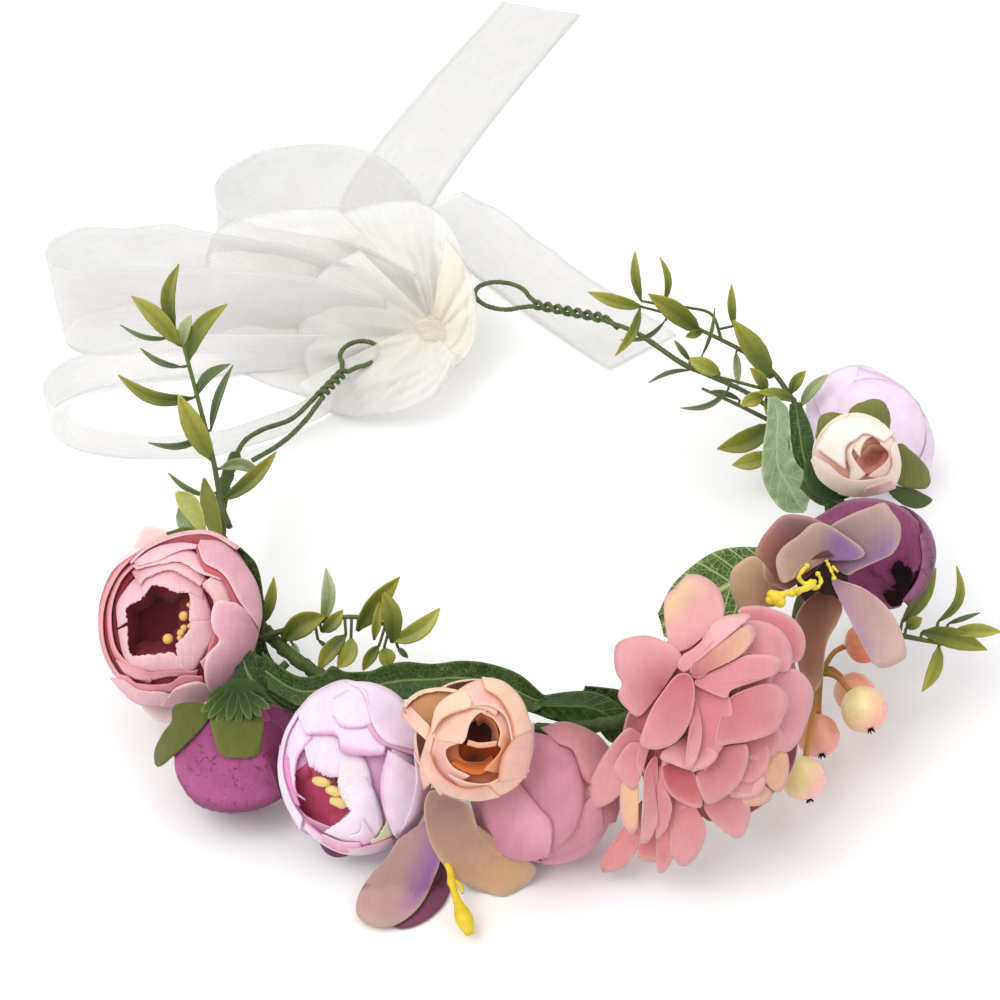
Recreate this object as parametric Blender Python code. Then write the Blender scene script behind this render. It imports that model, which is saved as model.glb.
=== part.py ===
"""Flower crown: a horseshoe of taped floral wire that carries fabric flowers,
leaves, plastic sprigs and berries, with a wire eye at each open end and an
organza ribbon bow tied to the left eye.  Metres, +Z up."""
import bpy
import bmesh
import math
import numpy as np
from mathutils import Vector

# ---------------------------------------------------------------- dimensions
MM = 0.001
RING_R = 95.0            # radius of the wire ring, centreline
RING_Z = 28.0            # height of the ring above the surface it lies on
RING_A0 = 168.0          # left end of the taped front wire, degrees
RING_A1 = 382.0          # right end of the taped front wire, degrees
WIRE_R = 1.0             # bare front wire
TAPE_IN, TAPE_OUT = 1.5, 2.15
THIN_R = 0.75            # thin end wires
EYE_R = 10.0
RIBBON_W = 38.0          # organza width
RIBBON_T = 0.6
GAP = 0.4                # clearance between touching pieces
NEST = 0.9               # clearance between nested faceted bowls
BENCH = (15.4, -118.9, 0.0)   # moves the ring centre so the origin is under the middle of the whole part

# bend points (joint axes), ring-centred millimetres
PIV_LEFT = (-92.9, 20.4, 28.0)
PIV_RIGHT = (87.8, 36.2, 28.0)
PIV_SPRIG_L = (-90.0, -18.0, 33.0)
PIV_SPRIG_M = (-77.5, -63.0, 31.5)
PIV_SPRIG_U = (88.5, 40.0, 33.5)
PIV_SPRIG_F = (104.0, -57.6, 28.0)
PIV_BERRY = (84.0, -57.0, 24.0)

for ob in list(bpy.data.objects):
    bpy.data.objects.remove(ob, do_unlink=True)

V = lambda *a: np.array(a, float)
def unit(v):
    v = np.asarray(v, float)
    return v / np.linalg.norm(v)

# ------------------------------------------------------------------ materials
MATS = {}
def material(name, rgb, rough=0.6, metal=0.0, alpha=1.0):
    m = bpy.data.materials.new(name)
    m.use_nodes = True
    b = m.node_tree.nodes["Principled BSDF"]
    b.inputs["Base Color"].default_value = (*rgb, 1)
    b.inputs["Roughness"].default_value = rough
    b.inputs["Metallic"].default_value = metal
    b.inputs["Alpha"].default_value = alpha
    MATS[name] = m
    return m

# ------------------------------------------------------------- mesh creation
EMPTIES = {}
def empty(name, p):
    e = bpy.data.objects.new(name, None)
    e.empty_display_size = 0.01
    e.location = [(p[i] + BENCH[i]) * MM for i in range(3)]
    bpy.context.collection.objects.link(e)
    EMPTIES[name] = (e, np.array(p, float))
    return e

def raw_mesh(name, verts, faces, origin):
    me = bpy.data.meshes.new(name)
    me.from_pydata([tuple((np.asarray(v, float) - origin) * MM) for v in verts], [], faces)
    bm = bmesh.new()
    bm.from_mesh(me)
    bmesh.ops.remove_doubles(bm, verts=bm.verts, dist=1e-7)
    bmesh.ops.recalc_face_normals(bm, faces=bm.faces)
    bm.to_mesh(me)
    bm.free()
    return me

def node(name, shapes, mat, body=None, smooth=40, origin=None):
    """One closed solid from one or more overlapping shapes (joined by union)."""
    if isinstance(shapes, tuple):
        shapes = [shapes]
    o = np.array(origin if origin is not None else (EMPTIES[body][1] if body else shapes[0][0][0]), float)
    me = raw_mesh(name, *shapes[0], o)
    ob = bpy.data.objects.new(name, me)
    bpy.context.collection.objects.link(ob)
    if len(shapes) > 1:
        col = bpy.data.collections.new(name + "_parts")
        extra = []
        for i, s in enumerate(shapes[1:]):
            t = bpy.data.objects.new(f"{name}_cut{i}", raw_mesh(f"{name}_c{i}", *s, o))
            bpy.context.collection.objects.link(t)
            col.objects.link(t)
            extra.append(t)
        for t in extra:
            mod = ob.modifiers.new("join", 'BOOLEAN')
            mod.operation = 'UNION'
            mod.solver = 'EXACT'
            mod.object = t
        dg = bpy.context.evaluated_depsgraph_get()
        dg.update()
        me2 = bpy.data.meshes.new_from_object(ob.evaluated_get(dg))
        ob.modifiers.clear()
        ob.data = me2
        for t in extra:
            bpy.data.objects.remove(t, do_unlink=True)
        bpy.data.collections.remove(col)
        bm = bmesh.new()
        bm.from_mesh(me2)
        bmesh.ops.remove_doubles(bm, verts=bm.verts, dist=1e-6)
        bmesh.ops.dissolve_degenerate(bm, edges=bm.edges, dist=1e-6)
        bm.to_mesh(me2)
        bm.free()
    ob.data.materials.clear()
    ob.data.materials.append(MATS[mat])
    ob.data.shade_smooth()
    ob.data.set_sharp_from_angle(angle=math.radians(smooth))
    if body:
        e, p = EMPTIES[body]
        ob.parent = e
        ob.location = [(o[i] - p[i]) * MM for i in range(3)]
    else:
        ob.location = [(o[i] + BENCH[i]) * MM for i in range(3)]
    return ob

# ------------------------------------------------------------------- shapes
def smooth_path(pts, n):
    """Catmull-Rom curve through pts, n points evenly spaced by length."""
    P = np.array(pts, float)
    Q = np.vstack([2 * P[0] - P[1], P, 2 * P[-1] - P[-2]])
    out = []
    for i in range(1, len(Q) - 2):
        for t in np.linspace(0, 1, 24, endpoint=False):
            a, b, c, d = Q[i - 1], Q[i], Q[i + 1], Q[i + 2]
            out.append(0.5 * (2 * b + (c - a) * t + (2 * a - 5 * b + 4 * c - d) * t * t
                              + (3 * b - a - 3 * c + d) * t ** 3))
    out.append(P[-1])
    out = np.array(out)
    s = np.concatenate([[0], np.cumsum(np.linalg.norm(np.diff(out, axis=0), axis=1))])
    u = np.linspace(0, s[-1], n)
    return np.stack([np.interp(u, s, out[:, k]) for k in range(3)], 1)

def frames(P):
    T = np.gradient(P, axis=0)
    T /= np.linalg.norm(T, axis=1)[:, None]
    a = V(0, 0, 1) if abs(T[0][2]) < 0.9 else V(1, 0, 0)
    N = [unit(np.cross(T[0], a))]
    for i in range(1, len(P)):
        v = N[-1] - T[i] * (N[-1] @ T[i])
        N.append(unit(v))
    N = np.array(N)
    return T, N, np.cross(T, N)

def tube(P, r, sides=6, taper=None):
    P = np.asarray(P, float)
    T, N, B = frames(P)
    vs, fs = [], []
    k = len(P)
    for i in range(k):
        rr = r * (taper(i / (k - 1)) if taper else 1.0)
        for j in range(sides):
            a = 2 * math.pi * j / sides
            vs.append(P[i] + rr * (math.cos(a) * N[i] + math.sin(a) * B[i]))
    for i in range(k - 1):
        for j in range(sides):
            a, b = i * sides + j, i * sides + (j + 1) % sides
            fs.append((a, b, b + sides, a + sides))
    fs.append(tuple(range(sides))[::-1])
    fs.append(tuple((k - 1) * sides + j for j in range(sides)))
    return vs, fs

def pipe(P, r_in, r_out, sides=8):
    """A sleeve: hollow tube, open right through."""
    T, N, B = frames(np.asarray(P, float))
    vs, fs = [], []
    k = len(P)
    for r in (r_out, r_in):
        for i in range(k):
            for j in range(sides):
                a = 2 * math.pi * j / sides
                vs.append(P[i] + r * (math.cos(a) * N[i] + math.sin(a) * B[i]))
    m = k * sides
    for i in range(k - 1):
        for j in range(sides):
            a, b = i * sides + j, i * sides + (j + 1) % sides
            fs.append((a, b, b + sides, a + sides))
            fs.append((m + b, m + a, m + a + sides, m + b + sides))
    for i in (0, k - 1):
        for j in range(sides):
            a, b = i * sides + j, i * sides + (j + 1) % sides
            fs.append((b, a, m + a, m + b) if i == 0 else (a, b, m + b, m + a))
    return vs, fs

def axes_of(n):
    n = unit(n)
    u = np.cross(V(0, 0, 1), n)
    u = unit(u) if np.linalg.norm(u) > 1e-3 else V(1, 0, 0)
    return u, np.cross(n, u), n

def lathe(C, n, prof, seg=14, wave=None):
    """Closed body turned about n; prof = (r, h) pairs, first and last on the axis."""
    u, w, n = axes_of(n)
    vs = [C + prof[0][1] * n]
    rings = prof[1:-1]
    for k, (r, h) in enumerate(rings):
        for j in range(seg):
            a = 2 * math.pi * j / seg
            rr = r * (wave(a, k / max(1, len(rings) - 1)) if wave else 1.0)
            vs.append(C + rr * (math.cos(a) * u + math.sin(a) * w) + h * n)
    vs.append(C + prof[-1][1] * n)
    fs = []
    for j in range(seg):
        fs.append((0, 1 + (j + 1) % seg, 1 + j))
    for k in range(len(rings) - 1):
        for j in range(seg):
            a, b = 1 + k * seg + j, 1 + k * seg + (j + 1) % seg
            fs.append((a, b, b + seg, a + seg))
    e = 1 + (len(rings) - 1) * seg
    for j in range(seg):
        fs.append((e + j, e + (j + 1) % seg, len(vs) - 1))
    return vs, fs

def floor_clip(shape, z=0.0):
    vs, fs = shape
    return [V(v[0], v[1], max(v[2], z)) for v in vs], fs

def cup(C, n, a, bf, bb, lip, t=1.4, seg=12, rows=4):
    """Bowl of petals: an oval shell about n, open from polar angle lip."""
    def arc(A, BF, BB, d0, d1, m):
        out = []
        for k in range(m):
            q = math.radians(d0 + (d1 - d0) * k / (m - 1))
            out.append((A * math.sin(q), (BF if math.cos(q) > 0 else BB) * math.cos(q)))
        return out
    outer = arc(a, bf, bb, 180, lip, rows + 1)
    inner = arc(a - t, bf - t, bb - t, lip, 180, rows + 1)
    outer[0] = (0, outer[0][1])
    inner[-1] = (0, inner[-1][1])
    return lathe(C, n, outer + inner, seg)

def oval(C, n, a, bf, bb, seg=12, rows=6, point=0.0, wave=None):
    """Closed bud; point draws the front end out to a tip."""
    prof = []
    for k in range(rows + 1):
        q = math.pi * (1 - k / rows)
        r, h = a * math.sin(q), (bf if math.cos(q) > 0 else bb) * math.cos(q)
        if math.cos(q) > 0:
            r *= 1 - point * math.cos(q) ** 2
        prof.append((max(r, 0), h))
    prof[0], prof[-1] = (0, prof[0][1]), (0, prof[-1][1])
    return lathe(C, n, prof, seg, wave)

def calyx(C, n, a, bb, cover=42.0, t=1.1, seg=12):
    """Cap of sepals behind a flower: oval shell over its back end."""
    A, B = a + NEST + 0.3 + t, bb + NEST + 0.3 + t
    outer = [(A * math.sin(math.radians(q)), B * math.cos(math.radians(q))) for q in (180, 180 - cover * .5, 180 - cover)]
    A, B = a + NEST + 0.3, bb + NEST + 0.3
    inner = [(A * math.sin(math.radians(q)), B * math.cos(math.radians(q))) for q in (180 - cover, 180 - cover * .5, 180)]
    outer[0], inner[-1] = (0, outer[0][1]), (0, inner[-1][1])
    return lathe(C, n, outer + inner, seg)

def to_wire(p, off=TAPE_OUT + 1.4):
    """Nearest point just outside the taped ring, seen from p."""
    ang = math.atan2(p[1], p[0])
    w = V(RING_R * math.cos(ang), RING_R * math.sin(ang), RING_Z)
    return w + unit(p - w) * off

def stalk(C, n, bb, r=1.1, end=None):
    """Wired stem from the back of a flower to the ring."""
    p0 = C - unit(n) * (bb + NEST + 0.8)
    p1 = to_wire(p0) if end is None else V(*end)
    mid = (p0 + p1) / 2 - unit(n) * 1.0
    return tube(smooth_path([p0, mid, p1], 5), r, 6)

def blade(path, side, width, t=0.9, nu=6, cup_h=0.0, shape=None, tip=0.08):
    """Leaf or petal: a thin closed solid along path, spread along side."""
    P = smooth_path(path, nu)
    T = np.gradient(P, axis=0)
    T /= np.linalg.norm(T, axis=1)[:, None]
    shape = shape or (lambda s: math.sin(math.pi * (0.10 + 0.84 * s)) ** 0.75)
    vs, fs = [], []
    for i in range(nu):
        s = i / (nu - 1)
        sd = side(s) if callable(side) else V(*side)
        sd = unit(sd - T[i] * (sd @ T[i]))
        nn = np.cross(T[i], sd)
        hw = max(width * 0.5 * shape(s), 0.5)
        for j, x in enumerate((-1, -0.5, 0, 0.5, 1)):
            base = P[i] + sd * hw * x + nn * cup_h * (x * x) * hw * 0.5
            e = 0.5 * t * (0.55 if abs(x) == 1 else 1.0)
            vs.append(base + nn * e)
            vs.append(base - nn * e)
    for i in range(nu - 1):
        for j in range(4):
            a, b = (i * 5 + j) * 2, (i * 5 + j + 1) * 2
            c, d = a + 10, b + 10
            fs.append((a, b, d, c))
            fs.append((a + 1, c + 1, d + 1, b + 1))
        for j in (0, 4):
            a = (i * 5 + j) * 2
            fs.append((a, a + 10, a + 11, a + 1) if j == 0 else (a, a + 1, a + 11, a + 10))
    for i in (0, nu - 1):
        for j in range(4):
            a, b = (i * 5 + j) * 2, (i * 5 + j + 1) * 2
            fs.append((a, a + 1, b + 1, b) if i == 0 else (a, b, b + 1, a + 1))
    return vs, fs

def strip(path, side, width, t, n, taper=None):
    """Ribbon: rectangular section swept along path, spread along side."""
    P = smooth_path(path, n)
    T = np.gradient(P, axis=0)
    T /= np.linalg.norm(T, axis=1)[:, None]
    vs, fs = [], []
    for i in range(n):
        s = i / (n - 1)
        sd = side(s) if callable(side) else V(*side)
        sd = unit(sd - T[i] * (sd @ T[i]))
        nn = np.cross(T[i], sd)
        w = width * (taper(s) if taper else 1.0) / 2
        for x, y in ((-1, -1), (1, -1), (1, 1), (-1, 1)):
            vs.append(P[i] + sd * w * x + nn * t / 2 * y)
    for i in range(n - 1):
        for j in range(4):
            a, b = i * 4 + j, i * 4 + (j + 1) % 4
            fs.append((a, b, b + 4, a + 4))
    fs.append((3, 2, 1, 0))
    k = (n - 1) * 4
    fs.append((k, k + 1, k + 2, k + 3))
    return vs, fs

def lance(base, tip, up, w=4.6, t=1.0):
    """Small lance-shaped plastic leaf with a thick midrib."""
    base, tip, up = V(*base), V(*tip), V(*up)
    d = tip - base
    L = np.linalg.norm(d)
    T = d / L
    sd = np.cross(T, up)
    sd = unit(sd) if np.linalg.norm(sd) > 1e-3 else V(1, 0, 0)
    nn = np.cross(sd, T)
    vs = [base - T * 0.4]
    for s, k in ((0.12, 0.42), (0.45, 1.0), (0.75, 0.66)):
        p = base + d * s + nn * L * 0.10 * math.sin(math.pi * s)
        vs += [p + sd * w / 2 * k, p + nn * t / 2, p - sd * w / 2 * k, p - nn * t / 2]
    vs.append(tip)
    fs = [(0, 1 + (j + 1) % 4, 1 + j) for j in range(4)]
    for r in range(2):
        for j in range(4):
            a, b = 1 + r * 4 + j, 1 + r * 4 + (j + 1) % 4
            fs.append((a, b, b + 4, a + 4))
    fs += [(9 + j, 9 + (j + 1) % 4, 13) for j in range(4)]
    return vs, fs

def sprig(stem, leaves, r=1.0, n=9, w=4.6):
    """Stem with lance leaves: leaves = (position along stem 0..1, direction, length)."""
    P = smooth_path(stem, 60)
    shapes = [tube(smooth_path(stem, n), r, 5, taper=lambda s: 1 - 0.35 * s)]
    Q = np.array(smooth_path(stem, n))
    for s, d, L in leaves:
        f = s * (n - 1)
        i = min(int(f), n - 2)
        b = Q[i] + (Q[i + 1] - Q[i]) * (f - i)
        T = unit(Q[i + 1] - Q[i])
        d = unit(V(*d))
        shapes.append(lance(b, b + d * L, unit(np.cross(np.cross(d, T), d) + V(0.01, 0.02, 0.03)), w))
    return shapes

def twist(A, B, turns, r, n, down):
    """Two helices about the line A-B, half a turn apart."""
    A, B = V(*A), V(*B)
    T = unit(B - A)
    e1 = unit(np.cross(T, V(0, 0, 1)))
    e2 = np.cross(T, e1)
    out = []
    for ph in (0, math.pi):
        pts = []
        for i in range(n):
            s = i / (n - 1)
            a = ph + 2 * math.pi * turns * (s - 1)
            pts.append(A + (B - A) * s + r * (math.cos(a) * e1 + math.sin(a) * e2))
        out.append(np.array(pts))
    return out[0], out[1]

# --------------------------------------------------------------- the pieces
material("wire_steel", (0.45, 0.46, 0.44), 0.35, 1.0)
material("floral_tape", (0.10, 0.22, 0.08), 0.75)
material("paper_wire", (0.13, 0.25, 0.12), 0.7)
material("petal_rose", (0.78, 0.40, 0.45), 0.8)
material("petal_rose_heart", (0.55, 0.15, 0.25), 0.8)
material("petal_blush", (0.93, 0.72, 0.70), 0.8)
material("petal_magenta", (0.45, 0.12, 0.28), 0.8)
material("petal_lilac", (0.88, 0.68, 0.80), 0.8)
material("petal_peach", (0.93, 0.62, 0.48), 0.8)
material("petal_peach_heart", (0.35, 0.10, 0.05), 0.8)
material("petal_mauve", (0.76, 0.42, 0.45), 0.8)
material("petal_dusty", (0.80, 0.42, 0.42), 0.8)
material("petal_taupe", (0.45, 0.30, 0.33), 0.8)
material("petal_plum", (0.38, 0.10, 0.25), 0.8)
material("petal_cream", (0.94, 0.82, 0.74), 0.8)
material("petal_pale", (0.90, 0.75, 0.87), 0.8)
material("stamen_yellow", (0.90, 0.72, 0.15), 0.5)
material("sepal_olive", (0.16, 0.22, 0.07), 0.8)
material("leaf_fabric", (0.10, 0.26, 0.08), 0.6)
material("leaf_pale", (0.25, 0.42, 0.22), 0.6)
material("sprig_plastic", (0.30, 0.38, 0.08), 0.45)
material("berry_skin", (0.88, 0.50, 0.40), 0.35)
material("organza", (0.95, 0.94, 0.90), 0.6, 0.0, 0.55)

for nm, p in (("bend_left_arm", PIV_LEFT), ("bend_right_arm", PIV_RIGHT),
              ("bend_sprig_left", PIV_SPRIG_L), ("bend_sprig_mid", PIV_SPRIG_M),
              ("bend_sprig_upper", PIV_SPRIG_U), ("bend_sprig_front", PIV_SPRIG_F),
              ("bend_berries", PIV_BERRY)):
    empty(nm, p)

# ring wire and its tape sleeve
A = np.radians(np.linspace(RING_A0, RING_A1, 27))
ring = np.stack([RING_R * np.cos(A), RING_R * np.sin(A), np.full_like(A, RING_Z)], 1)
node("wire_front", tube(ring, WIRE_R, 6), "wire_steel", origin=(0, 0, RING_Z))
node("tape_wrap", pipe(ring[1:-1], TAPE_IN, TAPE_OUT, 6), "floral_tape", origin=(0, 0, RING_Z))

# thin end wires: each runs out from the ring, twists, turns an eye and comes back
def eye_points(B, T, r, squash, n):
    """Eye beyond B in the horizontal plane."""
    T = unit(V(T[0], T[1], 0))
    e1 = unit(np.cross(T, V(0, 0, 1)))
    c = B + T * (r + 3.0)
    pts = []
    for i in range(n):
        a = math.radians(-150 + 300 * i / (n - 1))
        pts.append(c + T * r * math.cos(a) - e1 * r * squash * math.sin(a))
    return pts

LA, LB = V(-69.0, 60.5, 20.5), V(-61.5, 76.5, 19.0)
s1, s2 = twist(LA, LB, 2.5, 1.15, 16, 0)
eye = eye_points(LB, LB - LA, 7.5, 0.85, 10)
left_wire = np.vstack([
    smooth_path([(-92.6, 21.2, 28), (-90.5, 30, 27), (-85.5, 38.0, 25.0), (-77.0, 46.5, 22.5), s1[0]], 9)[:-1],
    s1, eye, s2[::-1],
    smooth_path([s2[0], (-73.5, 48.5, 19.2), (-80.0, 34.0, 22.0), (-87.5, 22.5, 25.0)], 7)[1:]])
node("wire_left", tube(left_wire, THIN_R, 5), "paper_wire", "bend_left_arm")

RA, RB = V(29.0, 102.6, 22.0), V(4.5, 113.6, 20.0)
s1, s2 = twist(RA, RB, 3.5, 1.15, 22, 0)
eye = eye_points(RB, RB - RA, EYE_R, 0.8, 12)
right_wire = np.vstack([
    smooth_path([(87.5, 37.0, 28), (80.5, 46.5, 27.6), (72.2, 56.5, 27), (54.5, 71.5, 26), (40.5, 91, 23.8), s1[0]], 10)[:-1],
    s1, eye, s2[::-1],
    smooth_path([s2[0], (33.5, 98.5, 20.6)], 3)[1:]])
node("wire_right", tube(right_wire, THIN_R, 5), "paper_wire", "bend_right_arm")

# flowers: centre, facing, half width, front depth, back depth
FL = {
    "peony_rose":    (V(-100.3, -59.4, 36.0), V(-0.12, -0.70, 0.71), 22.9, 19.5, 16.5),
    "bud_magenta":   (V(-84.0, -93.9, 14.0), V(-0.01, -0.84, -0.54), 15.2, 13.6, 13.0),
    "peony_lilac":   (V(-47.6, -105.1, 24.0), V(-0.43, -0.83, 0.34), 20.2, 18.2, 14.5),
    "rose_peach":    (V(-15.4, -113.4, 46.0), V(0.05, -0.62, 0.79), 17.3, 10.4, 12.0),
    "bud_mauve":     (V(5.7, -111.5, 16.4), V(-0.29, -0.94, -0.17), 17.0, 16.1, 13.0),
    "hydrangea":     (V(47.0, -109.5, 43.5), V(-0.33, -0.65, 0.69), 29.8, 16.4, 13.5),
    "bud_plum":      (V(103.9, -38.0, 40.5), V(0.39, -0.91, 0.12), 16.0, 15.2, 13.5),
    "rosebud_cream": (V(97.5, -11.9, 57.0), V(0.22, -0.79, 0.57), 12.8, 10.9, 11.0),
    "peony_pale":    (V(116.3, 45.0, 19.2), V(0.85, 0.15, 0.50), 20.4, 16.5, 16.5),
}
def dims(k):
    C, n, a, bf, bb = FL[k]
    return C, unit(n), a, bf, bb

# full peonies: outer bowl, inner bowl, stamens, calyx with stem
for key, mo, mi, lip in (("peony_rose", "petal_rose", "petal_rose_heart", 44),
                         ("peony_lilac", "petal_lilac", "petal_rose_heart", 46)):
    C, n, a, bf, bb = dims(key)
    node(key + "_petals_outer", floor_clip(cup(C, n, a, bf, bb, lip)), mo, origin=C)
    node(key + "_petals_inner", cup(C, n, a - 1.4 - NEST, bf - 1.4 - NEST, bb - 1.4 - NEST, lip + 6), mi, origin=C)
    node(key + "_stamens", lathe(C, n, [(0, -bb + 4.3), (2.6, -bb + 5.2), (2.0, 0), (5.2, 4.5), (4.2, 7.5), (0, 8.0)], 8),
         "stamen_yellow", origin=C)
    node(key + "_calyx", [calyx(C, n, a, bb, 34), stalk(C, n, bb)], "sepal_olive", origin=C)

# peach rose: outer bowl and rolled heart
C, n, a, bf, bb = dims("rose_peach")
node("rose_peach_petals", cup(C, n, a, bf, bb, 48), "petal_peach", origin=C)
node("rose_peach_heart", cup(C, n, a - 1.4 - NEST, bf - 1.4 - NEST, bb - 1.4 - NEST, 62, t=1.2), "petal_peach_heart", origin=C)
node("rose_peach_calyx", [calyx(C, n, a, bb, 36), stalk(C, n, bb)], "sepal_olive", origin=C)

# closed buds with calyx caps
for key, mat, pt, cov in (("bud_magenta", "petal_magenta", 0.1, 50), ("bud_mauve", "petal_mauve", 0.12, 40),
                          ("bud_plum", "petal_plum", 0.15, 46)):
    C, n, a, bf, bb = dims(key)
    node(key, floor_clip(oval(C, n, a, bf, bb, point=pt), 0.0), mat, origin=C)
    node(key + "_sepals", [calyx(C, n, a, bb, cov), stalk(C, n, bb)], "sepal_olive", origin=C)
C, n, a, bf, bb = dims("rosebud_cream")
node("rosebud_cream_petals", cup(C, n, a, bf, bb, 30, t=2.0, seg=12), "petal_cream", origin=C)
node("rosebud_cream_sepals", [calyx(C, n, a, bb, 62), stalk(C, n, bb)], "sepal_olive", origin=C)
C, n, a, bf, bb = dims("peony_pale")
node("peony_pale_petals", floor_clip(oval(C, n, a, bf, bb, point=0.1)), "petal_pale", origin=C)
node("peony_pale_calyx", [calyx(C, n, a, bb, 32), stalk(C, n, bb, end=to_wire(C - unit(n) * bb, 4.0))], "sepal_olive", origin=C)

# blush petals that stand behind the rose peony
node("blush_petals", blade([(-116, -38, 24), (-124, -36, 33), (-127, -38, 43)], (0.6, 0.8, 0), 26, t=1.6, nu=5,
                           shape=lambda s: 0.5 + 0.5 * math.sin(math.pi * (0.15 + 0.7 * s))), "petal_blush")

# big dusty bloom: three nested layers of petals and a calyx
C, n, a, bf, bb = dims("hydrangea")
wv = lambda k, amp: (lambda ang, s: 1 + amp * math.cos(k * ang))
node("hydrangea_petals_outer", lathe(C, n, [(0, -bb), (12, -bb + 1.5), (23, -bb + 8), (a - 1, -2), (a, 0.5), (a - 2.0, 1.2),
                                            (22, -bb + 10.5), (11.5, -bb + 3.6), (0, -bb + 2.2)], 18, wv(5, 0.04)),
     "petal_dusty", origin=C)
node("hydrangea_petals_mid", lathe(C, n, [(0, -bb + 2.9), (10, -bb + 4.4), (19, -bb + 11), (24, 6.5), (23, 8.5), (17.5, 1),
                                          (9.5, -bb + 6.6), (0, -bb + 5)], 16, wv(5, 0.03)), "petal_dusty", origin=C)
node("hydrangea_heart", lathe(C, n, [(0, -bb + 5.8), (8, -bb + 8), (14, 0.5), (17.5, 9), (12, 14.5), (0, 16.4)], 14, wv(4, 0.04)),
     "petal_dusty", origin=C)
node("hydrangea_calyx", [lathe(C, n, [(0, -bb - 2.4), (4, -bb - 2.0), (7.5, -bb - 0.9), (0, -bb - 0.9)], 10),
                         stalk(C, n, bb + 0.6)], "sepal_olive", origin=C)

# low taupe flower lying towards the surface
OL = V(-25.5, -112.5, 19.0)
node("orchid_low_petals", [
    oval(OL, (0.0, -0.9, -0.2), 3.4, 3.0, 3.4, 8, 4),
    blade([OL + V(-1, -3, -1), (-31, -124, 10.5), (-38.5, -134, 3.2)], (0.8, -0.4, 0.2), 12.5, cup_h=-0.25, nu=6),
    blade([OL + V(1, -2, -1), (-20, -122, 11.5), (-10, -129, 3.0)], (0.55, 0.85, 0.15), 13, cup_h=-0.25, nu=6)],
    "petal_taupe", origin=OL)
node("orchid_low_pistil", [tube(smooth_path([(-24.9, -123.5, 10.2), (-22.8, -129, 7.6), (-20.8, -133.5, 5.6)], 4), 0.8, 6),
                           oval(V(-20.5, -137.0, 4.6), (0.1, -0.95, -0.3), 2.2, 4.0, 4.0, 8, 5)], "stamen_yellow")

# upper taupe flower above the plum bud
OT = V(78.5, -68.5, 58.5)
node("orchid_top_petals", [
    oval(OT, (-0.2, -0.75, 0.6), 3.2, 2.4, 3.2, 8, 4),
    blade([OT + V(-1.5, 0, 0), (68, -61, 61), (56, -55, 59)], (0.3, 0.7, 0.5), 14, cup_h=0.2, nu=6),
    blade([OT + V(0, 1.5, 1), (86, -58, 66), (95, -50, 68)], (0.45, -0.4, 0.5), 13, cup_h=0.2, nu=6),
    blade([OT + V(1.5, -0.5, -1), (90, -71, 57), (99, -78, 52)], (0.3, -0.5, 0.6), 14, cup_h=0.2, nu=6),
    blade([OT + V(0, -1.5, -1.5), (80, -79, 51), (80.5, -87, 45)], (1, 0.1, 0.1), 9, cup_h=0.2, nu=6),
    tube(smooth_path([OT - V(0, -1, 2), (77, -61, 45), (76.5, -60.5, 33.6)], 6), 1.1, 6)],
    "petal_taupe", origin=OT)
node("orchid_top_stamens", [tube(smooth_path([(76.4, -72.6, 62.2), (72.0, -79, 63.5), (70, -82, 63.0)], 4), 0.8, 6),
                            oval(V(69.0, -83.2, 62.6), (-0.7, -0.7, 0), 1.8, 2.2, 2.2, 8, 4)], "stamen_yellow")

# berries on a branching stem
BER = [("a", V(75.6, -103.6, 18), 6.2, V(0, -0.9, -0.3)), ("b", V(94.5, -83.5, 24), 6.6, V(0.2, -0.9, -0.3)),
       ("c", V(82.5, -84.5, 14), 6.2, V(0.1, -0.9, -0.3)), ("d", V(94.5, -70.0, 16), 6.0, V(0.5, -0.8, -0.3)),
       ("e", V(96.5, -64.0, 30.5), 5.8, V(0.4, -0.9, -0.2))]
root = V(*PIV_BERRY)
hub = V(84.5, -68, 22)
stems = [tube(smooth_path([root, (84.2, -62, 23), hub, (80.5, -84, 21.5)][:3], 4), 0.9, 6)]
for k, c, r, ax in BER:
    end = c + unit(hub + V(0, 6, 3) - c) * (r + 0.35)
    mid = (hub + end) / 2 + V(0, 1.0, 1.5)
    stems.append(tube(smooth_path([hub, mid, end], 5), 0.8, 6))
node("berry_stems", stems, "sepal_olive", "bend_berries")
for k, c, r, ax in BER:
    node("berry_" + k, lathe(c, ax, [(0, -r), (r * .62, -r * .8), (r * .97, -r * .2), (r * .92, r * .42), (r * .45, r * .9), (r * .16, r + .5), (0, r + .5)], 12),
         "berry_skin", "bend_berries")

# leaves
node("leaf_long", blade([(-70.5, -73.5, 34.5), (-66, -77.5, 35), (-58, -80.5, 35.5), (-45, -81.0, 36), (-28, -79.5, 37), (-12, -80, 37), (4, -88, 35)],
                        (0.15, 0.55, 0.6), 13, cup_h=0.2, nu=9), "leaf_fabric")
node("leaf_gloss", blade([(0.5, -80.5, 31), (10, -80, 34), (22, -82, 34), (30, -84, 31)], (0.1, 0.7, 0.5), 11, cup_h=0.25), "leaf_fabric")
node("leaf_veined", blade([(71, -45, 36), (62, -42, 42), (50, -52, 44), (39, -67, 40)], (-0.5, 0.6, 0.5), 17, cup_h=0.2), "leaf_fabric")
node("leaf_pale_right", blade([(84, 30, 41), (80, 18, 42), (79, 5, 38), (81.5, -8, 31)], (0.95, 0.1, 0.35), 15, cup_h=0.2), "leaf_pale")
node("leaf_serrated", blade([(-73.5, -73.5, 33), (-80, -77, 32.5), (-87.5, -81, 29.5)], (0.25, -0.6, 0.6), 9.5, cup_h=0.2, nu=5), "leaf_fabric")

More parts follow.
